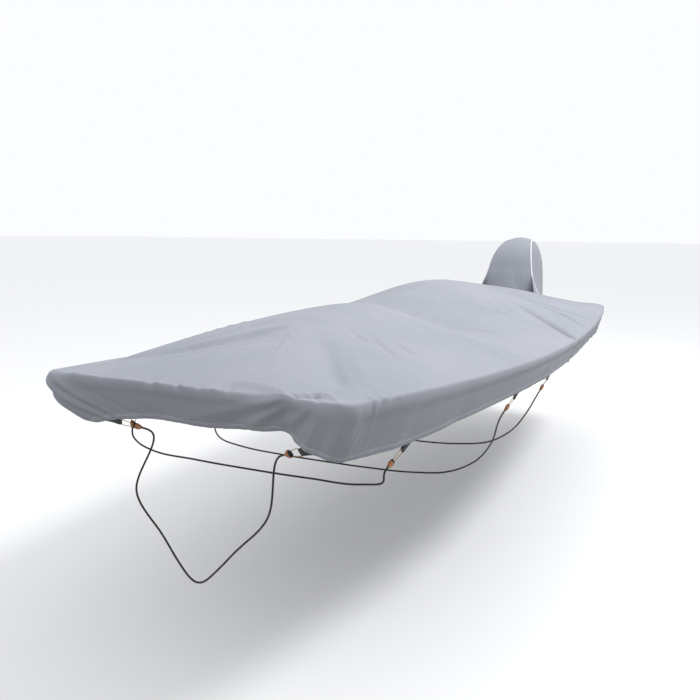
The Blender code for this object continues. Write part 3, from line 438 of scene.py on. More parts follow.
def hemRipple(at, shares):  # small uneven waves where the doubled hem is sewn, strongest on the bow
    strength = 0.35 + 0.65 * np.exp(-((at - 0.30) / 0.32) ** 2) + 0.3 * np.exp(-((at + 0.55) / 0.3) ** 2)
    wave = np.sin(2 * np.pi * at / hemWave["length"] + 1.7 * np.sin(at * 9.1))
    wave = wave + 0.5 * np.sin(2 * np.pi * at / 0.083 + 0.6)
    rise = np.clip((shares - hemWave["from"]) / (1 - hemWave["from"]), 0, 1)
    return hemWave["height"] * rise * strength * wave


def gridNormals(grid, closed):  # cross product of the differences down the rows and along the columns
    down = np.gradient(grid, axis=0)
    if closed:
        along = np.roll(grid, -1, 1) - np.roll(grid, 1, 1)
    else:
        along = np.gradient(grid, axis=1)
    return unit(np.cross(down, along))


def puckerEdge(cloth, edgeRow):
    # Short puckers along the edge: bells round it, that fade up the deck and down the skirt with the
    # distance from the edge, pushing the cloth up and outwards
    reach = np.linalg.norm(np.diff(cloth, axis=0), axis=2)
    distance = np.concatenate([np.zeros((1, stationCount)), np.cumsum(reach, 0)])
    distance = distance - distance[edgeRow]
    push = np.concatenate([outward * 0.6, np.full((stationCount, 1), 0.8)], 1)
    for at, depth, half, deckReach, skirtReach in zip(*puckers.values()):
        bell = np.exp(-(((edgeAt - at) / half) ** 2))
        reachTo = np.where(distance < 0, deckReach, skirtReach)
        fade = np.exp(-((distance / reachTo) ** 2))
        cloth += (depth * bell * fade)[..., None] * push
    return cloth


def softenRoll(cloth, edgeRow):
    # Rows near the edge are drawn towards the mean of their neighbours a few times, which rounds the
    # fold over the gunwale
    for _ in range(2):
        for row in range(edgeRow - 2, edgeRow + 2):
            weight = 0.45 * math.exp(-((row - edgeRow) / 1.4) ** 2)
            cloth[row] += weight * (0.5 * (cloth[row - 1] + cloth[row + 1]) - cloth[row])
    return cloth


deckPart = deckRings()
skirtPart = skirtSurface(edge, outward, skirt["rows"], edgeAt)
cloth = np.concatenate([deckPart, skirtPart[1:]])
edgeRow = ringCount - 1
footStations = np.arange(transomEnd + 1, stationCount - transomEnd)
footRings = cloth[: ringCount, footStations].copy()
cloth = softenRoll(puckerEdge(cloth, edgeRow), edgeRow)
cloth[: ringCount, footStations] = footRings  # no roll where the deck meets the hood
print("cloth surface worked out")


def clothShell(name, grid, uv, closed=False, thickness=cover["clothThick"], pole=False):
    # Two layers, the grid and the same grid one thickness inside it, joined round the borders
    normals = gridNormals(grid, closed)
    if pole:  # first-row points in one place share the mean of their normals, and are welded below
        _, same = np.unique(np.round(grid[0], 6), axis=0, return_inverse=True)
        same = same.ravel()
        total = np.stack([np.bincount(same, normals[1][:, k]) for k in range(3)], 1)
        normals[0] = unit(total)[same]
    rows, cols = grid.shape[:2]
    count = rows * cols
    points = np.concatenate([grid.reshape(-1, 3), (grid - thickness * normals).reshape(-1, 3)])
    i, j = np.meshgrid(np.arange(rows - 1), np.arange(cols if closed else cols - 1), indexing="ij")
    k = (j + 1) % cols
    outer = np.stack([i * cols + j, (i + 1) * cols + j, (i + 1) * cols + k, i * cols + k], -1).reshape(-1, 4)
    faces = [outer, outer[:, ::-1] + count]
    j = np.arange(cols if closed else cols - 1)
    k = (j + 1) % cols
    last = (rows - 1) * cols
    faces.append(np.stack([last + k, last + j, last + j + count, last + k + count], 1)[:, ::-1])
    if not pole:
        faces.append(np.stack([j, k, k + count, j + count], 1)[:, ::-1])
    if not closed:
        i = np.arange(rows - 1) * cols
        faces.append(np.stack([i, i + cols, i + cols + count, i + count], 1))
        i = i + cols - 1
        faces.append(np.stack([i + cols, i, i + count, i + cols + count], 1))
    faces = np.concatenate(faces)
    made = makeMesh(name, points, faces, np.concatenate([uv.reshape(-1, 2)] * 2))
    if pole:
        weld(made)
    return made


def weld(piece):  # joins points that lie in the same place, so that the spine is closed
    work = bmesh.new()
    work.from_mesh(piece.data)
    bmesh.ops.remove_doubles(work, verts=work.verts, dist=2e-6)
    bmesh.ops.dissolve_degenerate(work, edges=work.edges, dist=1e-7)
    work.to_mesh(piece.data)
    work.free()


def makeMesh(name, points, faces, uv=None):
    # A smooth-shaded mesh object from arrays of points and four-cornered faces
    mesh = bpy.data.meshes.new(name)
    mesh.vertices.add(len(points))
    mesh.vertices.foreach_set("co", points.astype(np.float32).ravel())
    mesh.loops.add(faces.size)
    mesh.loops.foreach_set("vertex_index", faces.astype(np.int32).ravel())
    mesh.polygons.add(len(faces))
    mesh.polygons.foreach_set("loop_start", np.arange(0, faces.size, faces.shape[1], dtype=np.int32))
    mesh.update(calc_edges=True)
    if uv is not None:
        layer = mesh.uv_layers.new(name="cloth")
        layer.data.foreach_set("uv", uv[faces.ravel()].astype(np.float32).ravel())
    mesh.validate()
    mesh.shade_smooth()
    mesh.set_sharp_from_angle(angle=math.radians(62))
    thing = bpy.data.objects.new(name, mesh)
    bpy.context.scene.collection.objects.link(thing)
    return thing


# Materials

def linear(hexColour):  # sRGB hex to linear RGBA
    parts = [int(hexColour[i:i + 2], 16) / 255 for i in (1, 3, 5)]
    return tuple(c / 12.92 if c <= 0.04045 else ((c + 0.055) / 1.055) ** 2.4 for c in parts) + (1.0,)


def node(tree, kind, settings=(), **links):
    # Adds one node: its settings, then a value or a socket for each input
    made = tree.nodes.new(kind)
    for key, value in dict(settings).items():
        setattr(made, key, value)
    for key, value in links.items():
        numbered = key[0] == "i" and key[1:].isdigit()
        socket = made.inputs[int(key[1:]) if numbered else key.replace("_", " ")]
        if isinstance(value, bpy.types.NodeSocket):
            tree.links.new(value, socket)
        else:
            socket.default_value = value
    return made


def material(name, colour, roughness, metallic=0.0, sheen=0.0, ior=1.5):
    made = bpy.data.materials.new(name)
    made.use_nodes = True
    shader = made.node_tree.nodes["Principled BSDF"]
    shader.inputs["Base Color"].default_value = linear(colour)
    shader.inputs["Roughness"].default_value = roughness
    shader.inputs["Metallic"].default_value = metallic
    shader.inputs["Sheen Weight"].default_value = sheen
    if not metallic:
        shader.inputs["IOR"].default_value = ior
    return made, made.node_tree, shader


def maths(tree, operation, a, b=0.0, c=0.0):
    return node(tree, "ShaderNodeMath", {"operation": operation}, i0=a, i1=b, i2=c).outputs[0]


def noise(tree, coords, scale, detail, roughness=0.5, distortion=0.0):
    return node(tree, "ShaderNodeTexNoise", Vector=coords, Scale=scale, Detail=detail,
                Roughness=roughness, Distortion=distortion).outputs["Fac"]


def mixed(tree, share, first, second):
    return node(tree, "ShaderNodeMix", {"data_type": "RGBA"}, i0=share, i6=first, i7=second).outputs[2]


def bumped(tree, height, strength=1.0):
    return node(tree, "ShaderNodeBump", Strength=strength, Distance=1.0, Height=height).outputs["Normal"]


clothLook = {
    "colour": "#A1A4AD",
    "shade": "#969AA3",  # where dust and weather have dulled it
    "thread": 0.0022,  # drawn about three times coarser than the real 0.7 mm yarn, so that it shows close up
    "weaveDepth": 0.00012,
    "rumple": 0.0038,  # height of the loose rumples between the main folds
    "stitchRows": (0.021, 0.030),  # above the hem
    "stitch": 0.0045,
    "threadColour": "#DFE1E6",
}


def coatedPolyester(name, hemmed):
    # Solution-dyed polyester woven plain and coated on the back: a dull, slightly soft face with a fine
    # grid of threads, small rumples and a faint unevenness from dust and weather
    made, tree, shader = material(name, clothLook["colour"], 0.74, sheen=0.06, ior=1.47)
    coords = node(tree, "ShaderNodeTexCoord").outputs["Object"]
    uv = node(tree, "ShaderNodeUVMap", {"uv_map": "cloth"}).outputs["UV"]
    split = node(tree, "ShaderNodeSeparateXYZ", i0=uv)
    u, v = split.outputs["X"], split.outputs["Y"]
    broad = noise(tree, coords, 1.7, 4.0, 0.55)
    fine = noise(tree, coords, 26.0, 3.0, 0.6)
    tone = maths(tree, "MULTIPLY_ADD", fine, 0.25, maths(tree, "MULTIPLY", broad, 0.8))
    ramp = node(tree, "ShaderNodeValToRGB", Fac=tone)
    dull, clean = ramp.color_ramp.elements
    dull.position, clean.position = 0.36, 0.66
    dull.color, clean.color = linear(clothLook["shade"]), linear(clothLook["colour"])
    colour = ramp.outputs["Color"]
    turn = 2 * math.pi / (2 * clothLook["thread"])
    warp = maths(tree, "SINE", maths(tree, "MULTIPLY", u, turn))
    weft = maths(tree, "SINE", maths(tree, "MULTIPLY", v, turn))
    weave = maths(tree, "MULTIPLY", warp, weft)
    rumple = maths(tree, "MULTIPLY", noise(tree, coords, 9.0, 3.0, 0.45, 0.6), clothLook["rumple"])
    height = maths(tree, "MULTIPLY_ADD", weave, clothLook["weaveDepth"], rumple)
    if hemmed:
        marks = None
        stitchShare = maths(tree, "FRACT", maths(tree, "DIVIDE", u, clothLook["stitch"]))
        dash = maths(tree, "LESS_THAN", stitchShare, 0.72)
        for row in clothLook["stitchRows"]:
            away = maths(tree, "ABSOLUTE", maths(tree, "SUBTRACT", v, row))
            groove = node(tree, "ShaderNodeMapRange", {"interpolation_type": "SMOOTHSTEP"}, Value=away,
                          From_Min=0.0, From_Max=0.0040, To_Min=-0.0016, To_Max=0.0)
            height = maths(tree, "ADD", height, groove.outputs["Result"])
            line = maths(tree, "LESS_THAN", away, 0.0013)
            marks = line if marks is None else maths(tree, "MAXIMUM", marks, line)
        marks = maths(tree, "MULTIPLY", marks, dash)
        colour = mixed(tree, marks, colour, linear(clothLook["threadColour"]))
    bump = bumped(tree, height, 0.8)
    tree.links.new(colour, shader.inputs["Base Color"])
    tree.links.new(bump, shader.inputs["Normal"])
    return made


def woven(name, colour, light, pitch, depth, roughness):
    # Webbing and tape: ribs across the strip and fine threads along it, from the strip's own UV in metres,
    # with painted highlight on the raised weave and painted shade in its hollows
    made, tree, shader = material(name, colour, roughness, sheen=0.1)
    uv = node(tree, "ShaderNodeUVMap", {"uv_map": "cloth"}).outputs["UV"]
    split = node(tree, "ShaderNodeSeparateXYZ", i0=uv)
    across = maths(tree, "SINE", maths(tree, "MULTIPLY", split.outputs["X"], 2 * math.pi / pitch))
    along = maths(tree, "SINE", maths(tree, "MULTIPLY", split.outputs["Y"], 2 * math.pi / (1.6 * pitch)))
    weave = maths(tree, "MULTIPLY", across, along)
    # the colour follows the weave's height: the lighter colour is a painted highlight on the raised threads,
    # the darker one painted shade in the hollows
    fac = maths(tree, "MULTIPLY_ADD", weave, 0.5, 0.5)
    colours = mixed(tree, fac, linear(colour), linear(light))
    bump = bumped(tree, maths(tree, "MULTIPLY", weave, depth))
    tree.links.new(colours, shader.inputs["Base Color"])
    tree.links.new(bump, shader.inputs["Normal"])
    return made


def speckled(name, dark, light, scale, roughness, metallic=0.0, depth=0.0002):
    # Moulded or plated small parts: slow colour change and a faint surface grain
    made, tree, shader = material(name, dark, roughness, metallic)
    coords = node(tree, "ShaderNodeTexCoord").outputs["Object"]
    grain = noise(tree, coords, scale, 4.0)
    colours = mixed(tree, grain, linear(dark), linear(light))
    bump = bumped(tree, maths(tree, "MULTIPLY", grain, depth), 0.6)
    tree.links.new(colours, shader.inputs["Base Color"])
    tree.links.new(bump, shader.inputs["Normal"])
    return made


plainCloth = coatedPolyester("coated polyester, plain weave", False)
hemmedCloth = coatedPolyester("coated polyester, double-stitched hem", True)
# the second colour of the tape and of the webbing is a painted highlight on their raised weave
bindingTape = woven("woven polyester binding tape", "#D9DBDF", "#F2F3F5", 0.0012, 0.00012, 0.62)
webbingBlack = woven("woven polypropylene webbing", "#0B0B0D", "#26262A", 0.0022, 0.0004, 0.62)
platedWire = speckled("yellow zinc-plated steel wire", "#9A7B45", "#C9AF78", 160.0, 0.34, 1.0, 0.00005)
mouldedRubber = speckled("moulded black rubber", "#101011", "#1C1C1E", 220.0, 0.6)
tanPlastic = speckled("tan moulded plastic", "#A8683A", "#C58A56", 90.0, 0.42)


# the lighter colour is a painted highlight on the crowns of the braided strands
braidLook = {"strands": 6, "pitch": 0.0085, "depth": 0.0004, "colour": "#141416", "crownGlint": "#3A3A3E"}


def braid(name):
    # Braided polyester sleeve over rubber: two crossing spirals of strands, from the cord's own UV, with a
    # painted highlight where the strands stand highest
    made, tree, shader = material(name, braidLook["colour"], 0.62, sheen=0.15)
    uv = node(tree, "ShaderNodeUVMap", {"uv_map": "cloth"}).outputs["UV"]
    split = node(tree, "ShaderNodeSeparateXYZ", i0=uv)
    turnAt, along = split.outputs["X"], split.outputs["Y"]
    waves = []
    for sign in (1, -1):
        spiral = maths(tree, "MULTIPLY", turnAt, sign * 2 * math.pi * braidLook["strands"])
        phase = maths(tree, "MULTIPLY_ADD", along, 2 * math.pi / braidLook["pitch"], spiral)
        waves.append(maths(tree, "SINE", phase))
    weave = maths(tree, "MULTIPLY", *waves)
    # where the crossing strands stand highest the colour is lighter: a painted highlight
    crownGlint = maths(tree, "GREATER_THAN", weave, 0.82)
    colours = mixed(tree, crownGlint, linear(braidLook["colour"]), linear(braidLook["crownGlint"]))
    bump = bumped(tree, maths(tree, "MULTIPLY", weave, braidLook["depth"]))
    tree.links.new(colours, shader.inputs["Base Color"])
    tree.links.new(bump, shader.inputs["Normal"])
    return made


cordSleeve = braid("braided polyester sleeve")
print("materials made")


# Panels cut from the cloth


def dress(piece, surface, *nodes):
    piece.data.materials.append(surface)
    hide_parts(*nodes)
    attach(piece, "root")
    return piece


deckUv = cloth[:ringCount, :, :2]
deckGrid = cloth[:ringCount].copy()
deck = clothShell("deckCloth", deckGrid, deckUv, closed=True, pole=True)
dress(deck, plainCloth, "deck")

dropTo = np.linalg.norm(np.diff(cloth[edgeRow:], axis=0), axis=2)[::-1]
aboveHem = np.concatenate([np.zeros((1, stationCount)), np.cumsum(dropTo, 0)])[::-1]
skirtUv = np.dstack([np.broadcast_to(edgeAt, aboveHem.shape), aboveHem])
lapUnder = 0.0008  # how far a skirt's top row is set in, under the deck's edge


def skirtPanel(name, cadNode, start, stop):
    # Rows from the edge to the hem between two stations; the top rows tuck under the deck's edge
    picked = np.arange(start, stop + 1) % stationCount
    grid = cloth[edgeRow:, picked].copy()
    normals = gridNormals(grid, False)
    under = np.zeros(len(grid))
    under[:2] = lapUnder, lapUnder * 0.45
    grid -= under[:, None, None] * normals
    piece = clothShell(name, grid, skirtUv[:, picked])
    dress(piece, hemmedCloth, cadNode)
    return grid


skirtPanel("bowSkirt", "bow_skirt", -cornerEnd, cornerEnd)
skirtPanel("portForeSkirt", "port_fore_skirt", cornerEnd, foreEnd)
skirtPanel("portAftSkirt", "port_aft_skirt", foreEnd, aftEnd)
portTransom = skirtPanel("portTransomSkirt", "port_transom_skirt", aftEnd, transomEnd)
skirtPanel("starboardForeSkirt", "starboard_fore_skirt", stationCount - foreEnd, stationCount - cornerEnd)
skirtPanel("starboardAftSkirt", "starboard_aft_skirt", stationCount - aftEnd, stationCount - foreEnd)
starboardTransom = skirtPanel("starboardTransomSkirt", "starboard_transom_skirt",
                              stationCount - transomEnd, stationCount - aftEnd)
print("deck and skirts made")


# The hood: a middle band over the top and a panel each side

hood = {
    "crown": 0.028,
    "bulge": 0.030,
    "footShare": 0.44,
    "skirtShare": 0.71,
    "footPower": 8,
    "bandRows": 150,
    "bandColumns": 56,
    "sideRows": 80,
    "sideColumns": 110,
}
hoodProfile = columns(("y", "z", "middle", "half"), (
    (2.200, 0.150, 0.000, 0.255),  # front foot
    (2.232, 0.230, 0.004, 0.222),
    (2.255, 0.330, 0.008, 0.198),
    (2.278, 0.430, 0.014, 0.178),
    (2.325, 0.520, 0.026, 0.152),
    (2.400, 0.578, 0.040, 0.122),
    (2.500, 0.592, 0.045, 0.108),  # peak
    (2.600, 0.578, 0.045, 0.110),
    (2.690, 0.530, 0.040, 0.126),
    (2.755, 0.450, 0.030, 0.150),
    (2.790, 0.350, 0.020, 0.170),
    (2.806, 0.230, 0.010, 0.184),
    (2.812, 0.060, 0.004, 0.196),
    (2.810, -0.130, 0.000, 0.206),  # rear hem
))
levels = np.arange(14.0)
hoodFolds = columns(("across", "depth", "half", "from", "to"), (  # soft upright folds in the middle band
    (-0.80, 0.006, 0.10, 0.0, 3.2), (-0.55, -0.004, 0.10, 0.0, 2.2), (-0.15, 0.003, 0.14, 0.0, 2.0),
    (0.30, -0.004, 0.10, 0.0, 2.4), (0.62, 0.004, 0.09, 0.0, 1.8), (-0.50, -0.005, 0.12, 9.0, 13.0),
    (0.20, 0.005, 0.12, 8.5, 13.0), (0.70, -0.004, 0.10, 9.5, 13.0),
))


def hoodBand(at, across):
    # Side-view profile swept across between its two seams, with a bow of 1 - a*a and soft upright folds.
    # A shift from the first row asked for to the foot on the deck is added, fading as a square over the
    # first 1.8 levels. It puts the foot on the deck only when the first row asked for is level 0:
    # hoodSide asks from the peak down, so its front foot comes out below the deck
    at, across = np.meshgrid(at, across, indexing="ij")
    y, z, middle, half = (smoothAlong(levels, hoodProfile[k], at) for k in ("y", "z", "middle", "half"))
    runY = smoothAlong(levels, hoodProfile["y"], at + 0.01) - smoothAlong(levels, hoodProfile["y"], at - 0.01)
    runZ = smoothAlong(levels, hoodProfile["z"], at + 0.01) - smoothAlong(levels, hoodProfile["z"], at - 0.01)
    size = np.hypot(runY, runZ)
    bow = hood["crown"] * (1 - across**2)
    for place, depth, wide, start, stop in zip(*hoodFolds.values()):
        t = np.clip((at - start) / (stop - start), 0, 1)
        bell = np.exp(-(((across - place) / wide) ** 2)) * (1 - across**2)
        bow = bow + depth * np.sin(np.pi * t) * bell
    band = np.dstack([middle + half * across, y - bow * runZ / size, z + bow * runY / size])
    footX = cover["hoodHalf"] * math.cos(math.radians(cover["bandTurn"])) * across
    footY = sternY - cover["hoodDepth"] * np.sqrt(1 - (footX / cover["hoodHalf"]) ** 2)
    foot = np.dstack([footX, footY, drapedHeight(footX, footY)])
    start = band[:1]
    return band + (np.clip(1 - at / 1.8, 0, 1) ** 2)[..., None] * (foot - start)


def hoodSide(side, transomColumn):
    # Rows from the peak down: each spans from the front seam to the rear seam, bulging outwards as a
    # half sine, and turns in late to follow the foot, the end of the transom skirt and the hem
    s = np.linspace(0, 1, hood["sideRows"]) ** 0.9
    front = hoodBand(6 - 6 * s, np.array([float(side)]))[:, 0]
    rear = hoodBand(7 + 6 * s, np.array([float(side)]))[:, 0]
    along = np.linspace(0, 1, hood["sideColumns"])
    turn = np.radians(cover["bandTurn"] * (1 - np.clip(along / hood["footShare"], 0, 1)))
    footX = side * cover["hoodHalf"] * np.cos(turn)
    footY = sternY - cover["hoodDepth"] * np.sin(turn)
    base = np.stack([footX, footY, drapedHeight(footX, footY)], 1)
    down = np.clip((along - hood["footShare"]) / (hood["skirtShare"] - hood["footShare"]), 0, 1)
    index = down * (len(transomColumn) - 1)
    steps = np.arange(len(transomColumn))
    edgeDown = np.stack([np.interp(index, steps, transomColumn[:, k]) for k in range(3)], 1)
    base = np.where((along > hood["footShare"])[:, None], edgeDown, base)
    hemShare = np.clip((along - hood["skirtShare"]) / (1 - hood["skirtShare"]), 0, 1)[:, None]
    base = np.where(hemShare > 0, mix(transomColumn[-1], rear[-1], hemShare), base)
    sag = base - mix(base[0], base[-1], along[:, None])
    row = mix(front[:, None], rear[:, None], along[None, :, None])
    row = row + sag[None] * (s**hood["footPower"])[:, None, None]
    bulge = hood["bulge"] * np.sin(np.pi * along)[None] * np.sin(np.pi * s)[:, None]
    ripple = np.sin(2 * np.pi * (along[None] * 3.2 + 0.2 * s[:, None])) * np.sin(np.pi * along)[None]
    fold = 0.005 * ripple * (s * (1 - s) * 3)[:, None]
    row[..., 0] += side * (bulge + fold)
    return row


def runningLength(points, axis):  # distance from the first point, along one axis of a line or grid
    steps = np.cumsum(np.linalg.norm(np.diff(points, axis=axis), axis=-1), axis)
    return np.concatenate([np.zeros_like(np.take(steps, [0], axis)), steps], axis)


def lengthUv(grid):  # UV in metres: along the columns and down the rows
    return np.dstack([runningLength(grid, 1), runningLength(grid, 0)])


bandAt = np.linspace(0, 13, hood["bandRows"])
band = hoodBand(bandAt, np.linspace(1, -1, hood["bandColumns"]))
piece = clothShell("hoodBand", band, lengthUv(band))
dress(piece, plainCloth, "hood_band")
for side, name, column in ((1, "Port", portTransom[:, -1]), (-1, "Starboard", starboardTransom[:, 0])):
    grid = hoodSide(side, column)
    if side < 0:
        grid = grid[:, ::-1]
    piece = clothShell(f"hood{name}Side", grid, lengthUv(grid))
    dress(piece, plainCloth, f"hood_{name.lower()}_side")

binding = {"width": 0.013, "thick": 0.0012, "lift": 0.0010, "bead": 0.0016}


def bindingStrip(side):
    # A narrow tape folded over the seam: a shallow arch across it, carried from the foot to the hem
    at = np.linspace(0.10, 12.9, 260)
    seam = hoodBand(at, np.array([float(side)]))[:, 0]
    inner = hoodBand(at, np.array([side * 0.93]))[:, 0]
    along = unit(np.gradient(seam, axis=0))
    towards = unit(inner - seam)
    outwards = unit(np.cross(along, towards)) * side
    beside = np.array([float(side), 0.0, 0.0])
    lift = unit(outwards + beside * 0.7)
    across = unit(np.cross(along, lift))
    turns = np.linspace(-1, 1, 9)
    arch = binding["lift"] + binding["bead"] * (1 - turns**2)
    sideways = turns * binding["width"] / 2
    strip = seam[:, None] + across[:, None] * sideways[None, :, None] + lift[:, None] * arch[None, :, None]
    uv = np.dstack(np.broadcast_arrays(sideways[None], runningLength(seam, 0)[:, None]))
    normals = gridNormals(strip, False)
    if (normals * lift[:, None]).sum() < 0:
        strip, uv = strip[:, ::-1], uv[:, ::-1]
    return strip, uv


for side, name in ((1, "port"), (-1, "starboard")):
    strip, uv = bindingStrip(side)
    piece = clothShell(f"hood{name.title()}Binding", strip, uv, thickness=binding["thick"])
    dress(piece, bindingTape, f"hood_{name}_binding")
print("hood made")


# Ties: webbing loop, wire hook, collar, cap and cord

ties = {  # place of the webbing on the edge and how far it leans forward, in degrees
    "bow": (0.505, -2.445, 44),
    "fore": (0.750, -1.930, 40),
    "mid": (0.878, -0.830, 46),
    "aft": (0.918, -0.240, 46),
}
cordRoutes = {  # from the port cap to the centreline, mirrored to the starboard cap
    "bow": ((0.300, -2.410, -0.365), (0.165, -2.420, -0.515), (0.075, -2.430, -0.614),
            (0.030, -2.432, -0.656), (0, -2.432, -0.668)),
    "fore": ((0.600, -2.050, -0.292), (0.520, -2.060, -0.312), (0.280, -2.065, -0.322), (0, -2.065, -0.325)),
    "mid": ((0.772, -1.150, -0.350), (0.730, -1.290, -0.408), (0.640, -1.370, -0.442),
            (0.480, -1.400, -0.460), (0.240, -1.410, -0.468), (0, -1.410, -0.470)),
    "aft": ((0.800, -0.520, -0.330), (0.755, -0.660, -0.400), (0.670, -0.760, -0.446),
            (0.500, -0.800, -0.470), (0.250, -0.815, -0.480), (0, -0.815, -0.482)),
}
fitting = {
    "topHalf": 0.0215,
    "endHalf": 0.0130,
    "webbing": 0.0015,
    "behind": 0.0080,
    "wire": 0.003,
    "hookStart": 0.0462,
    "hookEnd": 0.1000,
    "hookHalf": 0.0180,
    "hookEndHalf": 0.0110,
    "hookCorner": 0.0045,
    "collar": (0.030, 0.015, 0.008),
    "cap": (0.034, 0.018, 0.024),
    "capTail": 0.0062,
    "cord": 0.008,
    "gap": 0.0003,
}
loop = columns(("past", "open"), (
    (-0.0280, 0.00095), (0.0000, 0.00095), (0.0120, 0.0013), (0.0250, 0.0030),
    (0.0380, 0.0046), (0.0462, 0.0038), (0.0500, 0.0000),
))


def edgePoint(name, shift, side):
    x, y, _ = ties[name]
    if y > bowY:
        spot = np.array([float(halfWidth(y + shift)), y + shift])
        slope = float(halfWidth(y + shift + 0.01) - halfWidth(y + shift - 0.01)) / 0.02
        out = np.array([1.0, -slope])
    else:
        spot, out = np.array([x + shift, y]), np.array([0.0, -1.0])
    if side < 0:
        spot[0] *= -starboardSpread(spot[1])
        out[0] *= -1
    return spot, out / np.linalg.norm(out)


def tieFrame(name, side):  # where a tie leaves the hem: origin, pull, across and out directions
    spots, outs = zip(*(edgePoint(name, shift, side) for shift in (-0.015, 0.0, 0.015)))
    face = skirtSurface(np.array(spots), np.array(outs), (0, 0.06, 0.16, 0.33, 0.55, 0.78, 1.0))
    origin = face[-1, 1]
    down = unit(origin - face[-2, 1])
    forward = face[-1, 0] - face[-1, 2]
    forward = unit(forward - down * (forward @ down))
    outwards = side * np.cross(forward, down)
    turn = math.radians(ties[name][2])
    pull = math.cos(turn) * down + math.sin(turn) * forward
    return origin, pull, np.cross(outwards, pull), outwards


def placed(axes, pull, across, out):  # points along the pull, across it and outwards
    origin, pullAxis, acrossAxis, outAxis = axes
    pull, across, out = np.broadcast_arrays(pull, across, out)
    flat = origin + pull[..., None] * pullAxis + across[..., None] * acrossAxis
    return flat + (out[..., None] - fitting["behind"]) * outAxis


def sweep(name, path, radius, sides, surface):
    # A round profile carried along a path: at each point a circle square to it, its first spoke square
    # to one fixed direction, with each end closed by a fan of triangles
    run = unit(np.gradient(path, axis=0))
    ref = np.array([0.31, 0.2, 0.93])
    sideways = unit(np.cross(run, ref))
    up = np.cross(sideways, run)
    turns = np.linspace(0, 2 * np.pi, sides, endpoint=False)
    radius = np.broadcast_to(radius, len(path))
    ring = sideways[:, None] * np.cos(turns)[None, :, None] + up[:, None] * np.sin(turns)[None, :, None]
    grid = path[:, None] + ring * radius[:, None, None]
    rows, cols = grid.shape[:2]
    points = np.concatenate([grid.reshape(-1, 3), path[:1], path[-1:]])
    i, j = np.meshgrid(np.arange(rows - 1), np.arange(cols), indexing="ij")
    k = (j + 1) % cols
    quads = np.stack([i * cols + j, i * cols + k, (i + 1) * cols + k, (i + 1) * cols + j], -1).reshape(-1, 4)
    j = np.arange(cols)
    k = (j + 1) % cols
    first, last = rows * cols, rows * cols + 1
    capA = np.stack([np.full(cols, first), k, j], 1)
    capB = np.stack([np.full(cols, last), (rows - 1) * cols + j, (rows - 1) * cols + k], 1)
    mesh = bpy.data.meshes.new(name)
    faces = quads.tolist() + capA.tolist() + capB.tolist()
    mesh.from_pydata(points.tolist(), [], faces)
    layer = mesh.uv_layers.new(name="cloth")
    runAt = runningLength(path, 0)
    turnUv, runUv = np.meshgrid(np.arange(cols) / cols, runAt)
    flat = np.stack([turnUv.ravel(), runUv.ravel()], 1)
    flat = np.concatenate([flat, [[0.5, 0]], [[0.5, runAt[-1]]]])
    index = np.empty(len(mesh.loops), np.int32)
    mesh.loops.foreach_get("vertex_index", index)
    picked = flat[index]
    quadLoops = picked[: len(quads) * 4].reshape(-1, 4, 2)
    wraps = np.abs(quadLoops[:, :, 0].max(1) - quadLoops[:, :, 0].min(1)) > 0.5
    turned = quadLoops[wraps, :, 0]
    quadLoops[wraps, :, 0] = np.where(turned < 0.5, turned + 1, turned)
    layer.data.foreach_set("uv", picked.astype(np.float32).ravel())
    mesh.shade_smooth()
    mesh.set_sharp_from_angle(angle=math.radians(50))
    thing = bpy.data.objects.new(name, mesh)
    bpy.context.scene.collection.objects.link(thing)
    thing.data.materials.append(surface)
    return thing


bendPasses = 60  # rounds the cord where it turns, as an elastic cord under tension does


def smoothRoute(points, count):  # evenly spaced points on a smooth curve through the route's own points
    points = np.array(points, float)
    places = runningLength(points, 0)
    fine = np.linspace(0, places[-1], 20 * count)
    curve = np.stack([smoothAlong(places, points[:, k], fine) for k in range(3)], 1)
    for _ in range(bendPasses):  # each pass moves every point to the mean of two further along and back
        curve[8:-8] = 0.5 * (curve[:-16] + curve[16:])
    run = runningLength(curve, 0)
    even = np.linspace(0, run[-1], count)
    return np.stack([np.interp(even, run, curve[:, k]) for k in range(3)], 1), run[-1]


